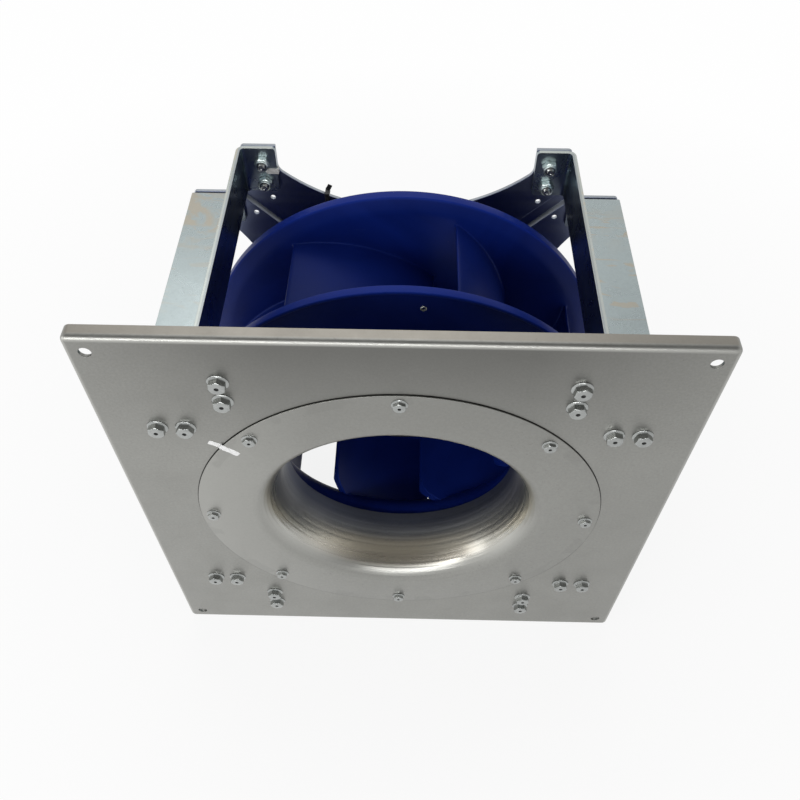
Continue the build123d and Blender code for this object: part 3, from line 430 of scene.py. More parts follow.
def plate_steel(name, tone, roughness):
    """Mounting plate: matt galvanised sheet with smudges, painted shade along its top, a dark line
    with painted shadow round the nozzle's disk, and a painted highlight at the bend.
    """
    skin = Finish(name)
    grain = zinc_ground(skin, tone, 0.09)
    x, y, z = skin.axes()
    side = skin.calc("ABSOLUTE", x)
    edge = skin.calc("MAXIMUM", side, skin.calc("ABSOLUTE", z))
    # Painted shade: the front face darker towards its top, most in the middle.
    painted_shade_top = skin.times(skin.ramp(z, 0.10, 0.24), skin.ramp(side, 0.10, 0.25, 1.0, 0.25),
                          skin.ramp(y, 0.0008, 0.0030, 0.75, 0))
    skin.coat(painted_shade_top, shade(tone, 0.36))
    smudges = skin.noise(1.0, 3, 0.5, skin.stretched((34, 34, 60), shift=(2.0, 0.0, 5.0)), 1.2)
    skin.coat(skin.ramp(smudges, 0.66, 0.74, 0, 0.16), shade(tone, 0.68))
    # A dark line in the gap round the nozzle's disk with painted shadow, heavier towards the top.
    joint_and_painted_shadow = skin.times(skin.band(skin.reach(), NOZZLE_RIM - 0.0005, NOZZLE_RIM + 0.0006, 0.0004),
                       skin.ramp(z, -0.06, 0.06, 0.60, 0.95))
    skin.coat(joint_and_painted_shadow, (0.02, 0.02, 0.02))
    # Painted highlight along the bend into the flanges.
    bend = skin.times(skin.ramp(edge, PLATE_EDGE - 0.0048, PLATE_EDGE - 0.0030),
                      skin.ramp(y, 0.0016, 0.0030, 1, 0))
    skin.coat(bend, shade(tone, 1.32))
    flange = skin.times(skin.ramp(edge, PLATE_EDGE - 0.0010, PLATE_EDGE - 0.0004),
                        skin.ramp(y, 0.004, 0.006, 0, 0.7))
    skin.coat(flange, (0.31, 0.285, 0.245))
    rough = skin.ramp(skin.noise(26, 4, 0.6), 0.3, 0.7, roughness - 0.04, roughness + 0.06)
    return skin.done(rough, skin.bump(grain, 0.10, 0.0003))


def nozzle_steel(name, tone, roughness):
    """Spun nozzle: galvanised disk with tape marks at its rim and fine rings in its bell, with
    painted shade, painted light, painted reflections and a painted shadow line.
    """
    skin = Finish(name)
    grain = zinc_ground(skin, tone, 0.08)
    reach = skin.reach()
    x, depth, z = skin.axes()
    # Painted shade: the disk darker towards its top.
    skin.coat(skin.ramp(z, 0.07, 0.17, 0, 0.52), shade(tone, 0.70))
    # Painted light: the disk lighter towards its left.
    skin.coat(skin.ramp(x, -0.18, -0.07, 0.7, 0), shade(tone, 1.22))
    disk = skin.colour
    # Spinning rings in shades lighter than the disk; the extra lightness is partly painted light in
    # the bell.
    rings = skin.noise(1.0, 4, 0.55, skin.stretched((7, 210, 7)), 0.3)
    skin.colour = skin.blend(skin.ramp(rings, 0.34, 0.66), shade(tone, 1.24), shade(tone, 1.56))
    skin.coat(skin.times(skin.band(depth, 0.0114, 0.0120, 0.0006), 0.35), shade(tone, 0.7))
    # Painted light: the bell lighter at its left and right sides.
    skin.coat(skin.ramp(skin.calc("ABSOLUTE", x), 0.05, 0.11, 0, 0.8), shade(tone, 1.72))
    # Painted reflection: a tan band low in the bell, broken up by noise.
    painted_tan_reflection = skin.times(skin.band(depth, 0.016, 0.034, 0.010),
                      skin.ramp(skin.noise(16, 3, 0.5), 0.25, 0.6, 0.4, 1),
                      skin.ramp(z, -0.118, -0.05, 0.50, 0))
    skin.coat(painted_tan_reflection, (0.62, 0.52, 0.36))
    # Painted shade and a painted bluish reflection deep in the throat.
    skin.coat(skin.ramp(depth, 0.036, 0.058, 0, 0.88), (0.185, 0.205, 0.27))
    in_bell = skin.ramp(depth, 0.001, 0.012)
    skin.colour = skin.blend(in_bell, disk, skin.colour)
    # Painted shadow: a dark line on the rim's edge over its lower half.
    rim_painted_shadow = skin.times(skin.band(reach, NOZZLE_RIM - 0.0007, NOZZLE_RIM + 0.0005, 0.0003),
                          skin.ramp(z, -0.07, 0.0, 0.6, 0))
    skin.coat(rim_painted_shadow, shade(tone, 0.25))
    tape = skin.times(skin.band(reach, NOZZLE_RIM - 0.0105, NOZZLE_RIM - 0.0015, 0.0012),
                      skin.ramp(skin.noise(24, 2, 0.5), 0.55, 0.58, 0, 0.16))
    skin.coat(tape, shade(tone, 0.60))
    rough = skin.calc("ADD", skin.ramp(in_bell, 0, 1, roughness, 0.26),
                      skin.ramp(rings, 0.3, 0.7, -0.02, 0.03))
    rough = skin.calc("ADD", rough, skin.ramp(depth, 0.018, 0.045, 0, 0.20))
    ring_bump = skin.bump(skin.times(rings, in_bell), 0.035, 0.0004)
    return skin.done(rough, skin.bump(grain, 0.06, 0.0003, ring_bump))


def strut_steel(name, tone, stain, roughness=0.27):
    """Strut sheet: bluish zinc, with painted shade and a painted reflection on its inner faces, and
    tan clouds and thin runs of storage stain on its outside.
    """
    skin = Finish(name)
    grain = zinc_ground(skin, tone, 0.05)
    x, y, z = skin.axes()
    sides = skin.calc("ABSOLUTE", x), skin.calc("ABSOLUTE", z)
    nearer = skin.calc("MINIMUM", *sides)
    outside = skin.ramp(nearer, STRUT_INSIDE + 0.0015, STRUT_INSIDE + 0.0023)
    outer_colour = skin.colour
    # Inner faces: a darker, bluer tone with streaks as painted shade and a painted reflection of
    # the impeller; the rear flange stays near the plain tone.
    skin.colour = shade(tone, 0.50, 0.55, 0.68)
    streaks = skin.noise(1.0, 3, 0.5, skin.stretched((260, 5, 260)))
    skin.coat(skin.ramp(streaks, 0.50, 0.66, 0, 0.45), (0.20, 0.22, 0.17))
    rear_flange = skin.ramp(y, STRUT_BACK_FLANGE - 0.0009, STRUT_BACK_FLANGE - 0.0002, 0, 0.8)
    skin.coat(rear_flange, shade(tone, 1.05))
    skin.coat(outside, outer_colour)
    cloud = skin.noise(1.0, 5, 0.62, skin.stretched(
        (24, 30, 24), (0, 0, radians(20)), (4.3, 1.1, 2.0)), 1.1)
    patch = skin.times(skin.ramp(cloud, 0.47, 0.56), skin.ramp(y, 0.188, 0.222),
                       skin.ramp(x, -0.02, 0.02, 0.62, 0.12))
    runs = skin.noise(1.0, 3, 0.5, skin.stretched(
        (12, 44, 12), (0, 0, radians(24)), (0.6, 3.0, 1.0)), 2.4)
    runs = skin.times(skin.ramp(runs, 0.56, 0.61), skin.band(y, 0.13, 0.235, 0.03),
                      skin.ramp(x, -0.02, 0.02, 0.25, 0.6))
    skin.coat(skin.times(skin.calc("MAXIMUM", patch, runs), outside), stain)
    farther = skin.calc("MAXIMUM", *sides)
    cut_edge = skin.ramp(farther, STRUT_EDGE - 0.0005, STRUT_EDGE - 0.0002, 0, 0.45)
    skin.coat(cut_edge, (0.57, 0.57, 0.51))
    rough = skin.ramp(cloud, 0.3, 0.7, roughness - 0.03, roughness + 0.07)
    return skin.done(rough, skin.bump(grain, 0.02, 0.0003))


def carrier_steel(name, tone, roughness=0.30):
    """Carrier sheet: galvanised, with painted shade and a painted bluish reflection on its front,
    and long faint rolling streaks.
    """
    skin = Finish(name)
    grain = zinc_ground(skin, tone, 0.06)
    y = skin.axes()[1]
    # Painted shade and a painted bluish reflection on the front faces and on a band a few
    # millimetres further back.
    front = skin.calc("MAXIMUM",
                      skin.ramp(y, CARRIER_FRONT + 0.0003, CARRIER_FRONT + 0.0011, 1, 0),
                      skin.band(y, CARRIER_FRONT + 0.0045, CARRIER_FRONT + 0.0080, 0.0003))
    skin.coat(skin.times(front, 0.9), shade(tone, 0.52, 0.56, 0.80))
    streaks = skin.noise(1.0, 3, 0.5, skin.stretched((10, 10, 150), (0, radians(8), 0)))
    skin.coat(skin.ramp(streaks, 0.4, 0.7, 0, 0.25), shade(tone, 0.55))
    return skin.done(skin.ramp(streaks, 0.3, 0.7, roughness, roughness + 0.08),
                     skin.bump(grain, 0.06, 0.0003))


def moulded_plastic(name, tone, roughness=0.38):
    """Moulded plastic with flow marks, fine grain, a few pale scuffs and a painted highlight on the
    rim.
    """
    skin = Finish(name)
    flow = skin.noise(7, 5, 0.55, distortion=1.8)
    skin.colour = skin.blend(skin.ramp(flow, 0.35, 0.7), shade(tone, 0.84), shade(tone, 1.16))
    scuffs = skin.noise(1.0, 2, 0.5, skin.stretched(
        (40, 40, 520), (radians(20), 0, radians(35))))
    skin.coat(skin.ramp(scuffs, 0.75, 0.78, 0, 0.10), (0.10, 0.12, 0.28))
    # Painted highlight: the outer rim lighter.
    painted_rim_highlight = skin.ramp(skin.reach(), IMPELLER_RIM - 0.0028, IMPELLER_RIM - 0.0006, 0, 0.75)
    skin.coat(painted_rim_highlight, shade(tone, 1.9))
    dust = skin.noise(420, 1, 0.4)
    skin.coat(skin.ramp(dust, 0.79, 0.82, 0, 0.10), (0.22, 0.22, 0.30))
    rough = skin.ramp(flow, 0.3, 0.7, roughness - 0.04, roughness + 0.07)
    return skin.done(rough, skin.bump(skin.noise(1100, 2, 0.6), 0.05, 0.0002), 0.0,
                     Specular_IOR_Level=0.22, Specular_Tint=(0.34, 0.47, 1.0))


def bright_zinc(name, tone, roughness=0.20):
    """Bright plating, a little cloudy, with a few dull spots."""
    skin = Finish(name)
    clouds = skin.noise(160, 3, 0.5)
    skin.colour = skin.blend(skin.ramp(clouds, 0.35, 0.7), shade(tone, 0.84), tone)
    spots = skin.noise(900, 2, 0.5)
    skin.coat(skin.ramp(spots, 0.66, 0.72, 0, 0.4), shade(tone, 0.55))
    return skin.done(skin.ramp(clouds, 0.3, 0.75, roughness, roughness + 0.12),
                     skin.bump(clouds, 0.05, 0.0002))


def cast_metal(name, tone, roughness=0.45):
    """Die-cast aluminium with a sandy skin and darker flow patches."""
    skin = Finish(name)
    sand = skin.noise(700, 4, 0.65)
    patches = skin.noise(18, 4, 0.55, distortion=1.0)
    skin.colour = skin.blend(skin.ramp(patches, 0.35, 0.7), tone, shade(tone, 0.8))
    return skin.done(skin.ramp(sand, 0.3, 0.7, roughness - 0.06, roughness + 0.1),
                     skin.bump(sand, 0.25, 0.0004))


def plain_finish(name, tone, roughness, metallic=0.0, scale=300.0):
    """A simple skin for small parts: two close shades and a fine grain."""
    skin = Finish(name)
    grain = skin.noise(scale, 4, 0.6)
    skin.colour = skin.blend(skin.ramp(grain, 0.3, 0.7), shade(tone, 0.8), shade(tone, 1.1))
    return skin.done(roughness, skin.bump(grain, 0.12, 0.0002), metallic)


def finish_named(name):
    """The finish of that name, which is made when it is first asked for."""
    tones = bpy.context.scene.fan_finish
    makers = {
        "plate_zinc": (plate_steel, tones.plate_tone, 0.40),
        "nozzle_zinc": (nozzle_steel, tones.plate_tone, 0.38),
        "strut_zinc": (strut_steel, tones.strut_tone, tones.stain_tone),
        "carrier_zinc": (carrier_steel, tones.carrier_tone),
        "impeller_blue": (moulded_plastic, tones.impeller_tone),
        "bolt_zinc_bright": (bright_zinc, tones.zinc_tone),
        "nut_zinc_pale": (bright_zinc, (0.78, 0.87, 0.85), 0.30),
        "motor_casting": (cast_metal, tones.casting_tone),
        "rotor_black": (plain_finish, (0.022, 0.022, 0.026), 0.42),
        "clip_grey": (plain_finish, (0.64, 0.63, 0.61), 0.4),
        # Painted shade in the bolts' dimples and the screws' sockets.
        "recess_painted_shade": (plain_finish, (0.030, 0.030, 0.030), 0.55),
        "ground_steel": (plain_finish, (0.5, 0.5, 0.5), 0.25, 1.0),
        "winding_wire": (plain_finish, (0.55, 0.22, 0.10), 0.35, 1.0),
        "black_rubber": (plain_finish, (0.014, 0.014, 0.015), 0.6),
        "black_nylon": (plain_finish, (0.020, 0.020, 0.022), 0.45),
        "lock_nylon": (plain_finish, (0.016, 0.020, 0.034), 0.4),
        "board_green": (plain_finish, (0.02, 0.09, 0.04), 0.4),
        "witness_paint": (plain_finish, tones.paint_tone, 0.5, 0.0, 500.0),
    }
    maker, *values = makers[name]
    return bpy.data.materials.get(name) or maker(name, *values)


class Shape:
    """Points and faces of a mesh in the making, in millimetres."""

    def __init__(self):
        self.points = []
        self.faces = []
        self.dark = set()

    def loft(self, rings, capped=True, loop=False, recess=0):
        """Joins closed rings of equal count, and keeps the first rows and cap as a recess in
        painted shade.
        """
        rows, count = len(rings), len(rings[0])
        start, first_face = len(self.points), len(self.faces)
        for ring in rings:
            self.points.extend(ring)
        for row in range(rows if loop else rows - 1):
            low = start + row * count
            high = start + (row + 1) % rows * count
            for step in range(count):
                after = (step + 1) % count
                self.faces.append((low + step, low + after, high + after, high + step))
        self.dark.update(range(first_face, first_face + recess * count))
        if capped and not loop:
            if recess:
                self.dark.add(len(self.faces))
            self.faces.append(tuple(reversed(range(start, start + count))))
            self.faces.append(tuple(range(start + (rows - 1) * count, start + rows * count)))
        return self

    def place(self, other, matrix):
        """Adds another shape, moved by the matrix."""
        start = len(self.points)
        self.dark.update(len(self.faces) + index for index in other.dark)
        self.points.extend(matrix @ Vector(point) for point in other.points)
        self.faces.extend(tuple(start + index for index in face) for face in other.faces)

    def mesh(self, name):
        data = bpy.data.meshes.new(name)
        data.from_pydata([Vector(point) * MM for point in self.points], [], self.faces)
        for index in self.dark:
            data.polygons[index].material_index = 1
        return data


def new_object(name, data):
    """An object of that name, which is linked into the scene."""
    made = bpy.data.objects.new(name, data)
    bpy.context.scene.collection.objects.link(made)
    return made


def add_piece(name, form, finish, node=None, smooth=PIECE_SMOOTH):
    """Makes a piece of a shape or a mesh, with its finish, and lets it stand for a node."""
    data = form.mesh(name) if isinstance(form, Shape) else form
    work = bmesh.new()
    work.from_mesh(data)
    bmesh.ops.recalc_face_normals(work, faces=work.faces)
    work.to_mesh(data)
    work.free()
    data.materials.append(finish_named(finish))
    # Recess faces take a second, near-black finish as painted shade.
    if any(face.material_index for face in data.polygons):
        data.materials.append(finish_named("recess_painted_shade"))
    data.shade_smooth()
    data.set_sharp_from_angle(angle=radians(smooth))
    piece = new_object(name, data)
    body = "frame"
    if node:
        body = body_of(frame["nodes"][node])[0]
        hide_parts(node)
    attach(piece, body)
    return piece


def softened(node, finish, width):
    """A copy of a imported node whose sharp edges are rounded, which stands for the node."""
    work = bmesh.new()
    work.from_mesh(frame["nodes"][node].data)
    bmesh.ops.remove_doubles(work, verts=work.verts, dist=0.002 * MM)
    bmesh.ops.dissolve_limit(work, angle_limit=radians(0.4), verts=work.verts, edges=work.edges)
    data = bpy.data.meshes.new(node + "_sheet")
    work.to_mesh(data)
    work.free()
    edge = add_piece(node + "_soft", data, finish, node).modifiers.new("edges", "BEVEL")
    edge.width = width * MM
    edge.segments = 2
    edge.limit_method = "ANGLE"
    edge.angle_limit = radians(40)
    edge.use_clamp_overlap = False
    edge.harden_normals = True


def turned(rows, count=48, **options):
    """A loft through rings round the Y axis, from rows of radius and depth.

    A radius may be a function of the angle.
    """
    angles = [2 * pi * step / count for step in range(count)]
    rings = []
    for radius, y in rows:
        reaches = [radius(angle) if callable(radius) else radius for angle in angles]
        rings.append([(reach * cos(angle), y, reach * sin(angle))
                      for reach, angle in zip(reaches, angles)])
    return Shape().loft(rings, **options)


def revolved(outline, count=48):
    """The closed outline of radius and depth, turned round the fan's axis."""
    angles = [2 * pi * step / count for step in range(count)]
    return Shape().loft([[(r * cos(angle), y, r * sin(angle)) for r, y in outline]
                         for angle in angles], loop=True)


def hexagon(flats, grow=0.0, within=1e9):
    """Radius of a hexagon across its flats at each angle, cut off by a circle."""
    def reach(angle):
        side = (angle + pi / 6) % (pi / 3) - pi / 6
        return min((flats / 2 + grow) / cos(side), within)
    return reach


def arc(centre, radius_x, radius_y, start, end, steps):
    """Points on an ellipse about the centre, from one angle to the other, in degrees."""
    angles = [radians(start + (end - start) * step / steps) for step in range(steps + 1)]
    return [(centre[0] + radius_x * cos(angle), centre[1] + radius_y * sin(angle))
            for angle in angles]


def rounded(outline, radius, steps=4):
    """The closed outline with its sharp corners turned into arcs."""
    result = []
    count = len(outline)
    for index in range(count):
        before, corner, after = (Vector(outline[(index + shift) % count]) for shift in (-1, 0, 1))
        back = before - corner
        ahead = after - corner
        turn = pi - back.angle(ahead)
        if turn < radians(SHARP_TURN):
            result.append(tuple(corner))
            continue
        reach = min(radius * tan(turn / 2), 0.45 * back.length, 0.45 * ahead.length)
        start = corner + back.normalized() * reach
        end = corner + ahead.normalized() * reach
        away = (start + end) / 2 - corner
        bend = reach / tan(turn / 2)
        centre = corner + away.normalized() * sqrt(bend ** 2 + reach ** 2)
        first = start - centre
        sweep = first.angle_signed(end - centre)
        for step in range(steps + 1):
            part = -sweep * step / steps
            result.append((centre.x + first.x * cos(part) - first.y * sin(part),
                           centre.y + first.x * sin(part) + first.y * cos(part)))
    return result


def blended(before, corner, after, radius):
    """A gentle corner as a curve that touches both its sides."""
    corner = Vector(corner)
    back = (Vector(before) - corner).normalized()
    ahead = (Vector(after) - corner).normalized()
    reach = radius * tan((pi - back.angle(ahead)) / 2)
    points = []
    for step in range(BLEND_STEPS + 1):
        part = step / BLEND_STEPS
        start = corner + back * reach * (1 - part)
        points.append(tuple(start.lerp(corner + ahead * reach * part, part)))
    return points


def thread_rows(radius, pitch, start, end):
    """Rows of a screw thread from one depth to the other."""
    depth = 0.54 * pitch
    steps = max(2, ceil((end - start) / pitch * 8))
    rows = []
    for step in range(steps + 1):
        y = start + (end - start) * step / steps
        ease = min(1.0, (end - y) / pitch + 0.35)

        def reach(angle, y=y, ease=ease):
            phase = (y / pitch + angle / (2 * pi)) % 1.0
            return (radius - depth + depth * abs(2 * phase - 1)) * (0.86 + 0.14 * ease)
        rows.append((reach, y))
    return rows


def flange_bolt(size, length):
    """Flange bolt: dimpled and chamfered hex head, coned flange and a threaded end."""
    radius, flats, head, flange_r, flange_height, pitch, threaded = size
    top, seat = -head, -flange_height
    dimple = 0.135 * flats
    chamfer_r = flats / 2 * 0.93
    corner = flats / 2 / cos(pi / 6)
    rows = [(dimple * 0.25, top + 1.5), (dimple * 0.70, top + 1.45), (dimple, top + 0.50),
            (dimple + 0.12, top + 0.12), (dimple + 0.45, top + 0.04), (chamfer_r * 0.62, top),
            (chamfer_r - 0.3, top + 0.05)]
    for part in (0, 0.25, 0.5, 0.75, 1):
        rise = (corner - chamfer_r) * part
        rows.append((hexagon(flats, 0.0, chamfer_r + rise), top + 0.12 + 0.60 * rise))
    rows += [(hexagon(flats), seat - 0.35), (hexagon(flats, 0.12), seat - 0.05),
             (hexagon(flats, 0.45, flange_r - 0.7), seat + 0.05),
             (flange_r - 0.28, 0.55 * seat), (flange_r - 0.06, 0.40 * seat),
             (flange_r - 0.01, 0.22 * seat), (flange_r - 0.10, 0.05 * seat),
             (flange_r - 0.25, 0), (radius - 0.05, 0), (radius - 0.05, length - threaded)]
    rows += thread_rows(radius - 0.02, pitch, length - threaded, length - 0.5)
    rows += [(radius * 0.80, length - 0.05), (radius * 0.74, length), (radius * 0.30, length),
             (radius * 0.16, length - 0.35)]
    return turned(rows, recess=3)


def collar_inner(radius, flats):
    """Radius of the edge that holds a lock nut's nylon ring."""
    return (radius + flats / 2 * COLLAR_SHARE - 0.6) / 2


def lock_nut(size):
    """Hex nut with chamfers and a rolled collar, from y = 0 rearwards."""
    radius, flats, height, collar = size
    body = height - collar
    chamfer_r = flats / 2 * 0.94
    corner = flats / 2 / cos(pi / 6)
    collar_r = flats / 2 * COLLAR_SHARE
    inner = collar_inner(radius, flats)
    rows = [(radius + 0.05, 0), (chamfer_r, 0)]
    for step in (1, 2, 3):
        rise = (corner - chamfer_r) * step / 3
        rows.append((hexagon(flats, 0, chamfer_r + rise), 0.5 * rise))
    for step in (0, 1, 2, 3):
        reach = corner + (collar_r + 0.25 - corner) * step / 3
        rows.append((hexagon(flats, 0, reach), body - (corner - collar_r) * 0.5 * (1 - step / 3)))
    rows += [(collar_r, body + 0.1), *arc((collar_r - 0.75, height - 0.7), 0.75, 0.7, 0, 90, 4),
             (inner + 0.12, height - 0.12), (inner, height - 0.55),
             (radius + 0.05, height - 0.60)]
    return turned(rows, loop=True)


def nylon_ring(size):
    """The locking ring that shows in a nut's collar, round the bolt's end."""
    radius, flats, height = size[:3]
    inner = collar_inner(radius, flats) - 0.02
    outline = [(radius + 0.04, height - 0.60), (inner, height - 0.60), (inner, height - 0.22),
               (radius + 0.04, height - 0.16)]
    return revolved(rounded(outline, 0.12, 2))


def pan_screw(radius, length):
    """Low round head with a six-lobed socket, and a plain shank."""
    head_r = 1.9 * radius

    def lobes(reach):
        return lambda angle: reach * (1 + 0.12 * cos(6 * angle))
    rows = [(lobes(radius * 0.62), -radius * 0.35), (lobes(radius * 0.66), -radius * 0.96)]
    for step in range(7):
        angle = pi / 2 * step / 6
        rows.append((head_r * (0.55 + 0.43 * sin(angle)),
                     -radius * (0.08 + 0.90 * cos(angle) ** 1.3)))
    rows += [(head_r * 0.94, 0), (radius - 0.03, 0), (radius - 0.03, length - 0.6),
             (radius * 0.7, length)]
    return turned(rows, 36, recess=1)


def corner_places():
    """The sixteen bolt places in X and Z: two on each flange of each strut."""
    return [place for side_x in (-1, 1) for side_z in (-1, 1) for row in BOLT_ROWS
            for place in ((side_x * BOLT_LINE, side_z * row), (side_x * row, side_z * BOLT_LINE))]


def ring_places(radius, count, start=0.0):
    """Places in X and Z, evenly spaced on a circle about the fan's axis."""
    turns = [radians(start + 360.0 * step / count) for step in range(count)]
    return [(radius * cos(turn), radius * sin(turn)) for turn in turns]


def set_out(shape, places, y, rearward=False, draw=None):
    """Copies of a fastener at the places, each turned round its own axis by a draw."""
    whole = Shape()
    for x, z in places:
        matrix = Matrix.Translation((x, y, z))
        if rearward:
            matrix = matrix @ Matrix.Rotation(pi, 4, "X")
        if draw:
            matrix = matrix @ Matrix.Rotation(radians(draw.uniform(-180.0, 180.0)), 4, "Y")
        whole.place(shape, matrix)
    return whole


class FAN_OT_dress_nodes(Operator):
    """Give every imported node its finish"""
    bl_idname = "fan.dress_nodes"
    bl_label = "Dress Nodes"

    def execute(self, context):
        finishes = {
            "rotor_magnets": "rotor_black", "stator_core": "rotor_black",
            "stator_windings": "winding_wire", "cover_gasket": "black_rubber",
            "circuit_board": "board_green", "board_components": "black_nylon",
        }
        for node, holder in frame["nodes"].items():
            finish = finish_named(finishes.get(node, "ground_steel"))
            for index in range(len(holder.data.materials)):
                holder.data.materials[index] = finish
        return {"FINISHED"}


class FAN_OT_make_frame(Operator):
    """Round the edges of the plate, the struts, the carrier, the clip and the tie"""
    bl_idname = "fan.make_frame"
    bl_label = "Make Frame"

    def execute(self, context):
        edge = context.scene.fan_detail.sheet_edge
        softened("front_plate", "plate_zinc", edge)
        for height in ("top", "bottom"):
            for side in ("left", "right"):
                softened("strut_" + height + "_" + side, "strut_zinc", edge)
        softened("rear_cross_plate", "carrier_zinc", edge)
        softened("edge_clip", "clip_grey", TAB_EDGE)
        softened("cable_tie", "black_nylon", TIE_EDGE)
        return {"FINISHED"}


class FAN_OT_make_nozzle(Operator):
    """Spin the inlet nozzle, with its rounded edges and the marks of the spinning tool"""
    bl_idname = "fan.make_nozzle"
    bl_label = "Make Nozzle"

    def execute(self, context):
        detail = context.scene.fan_detail
        bell = (BELL_CENTRE_R, NOZZLE_END)
        air_side = arc(bell, BELL_WIDTH, BELL_DEPTH, 270, 180, AIR_SIDE_STEPS)
        rippled = []
        for index, (r, y) in enumerate(air_side):
            fade = min(1.0, index / 12) * min(1.0, (AIR_SIDE_STEPS - index) / 8)
            wave = sin(index * 0.83) + 0.7 * sin(index * 0.37 + 1.2) + 0.5 * sin(index * 1.61 + 2)
            rippled.append((r + detail.spin_ripple * fade * (wave - 1.4), y))
        rear_side = arc(bell, BELL_WIDTH - NOZZLE_SHEET, BELL_DEPTH - NOZZLE_SHEET, 180, 270,
                        REAR_SIDE_STEPS)
        outline = [(NOZZLE_R, NOZZLE_FRONT), *rippled, *rear_side, (NOZZLE_R, 0.0)]
        shape = revolved(rounded(outline, NOZZLE_EDGE, 3), detail.round_steps)
        add_piece("inlet_nozzle_spun", shape, "nozzle_zinc", "inlet_nozzle")
        return {"FINISHED"}


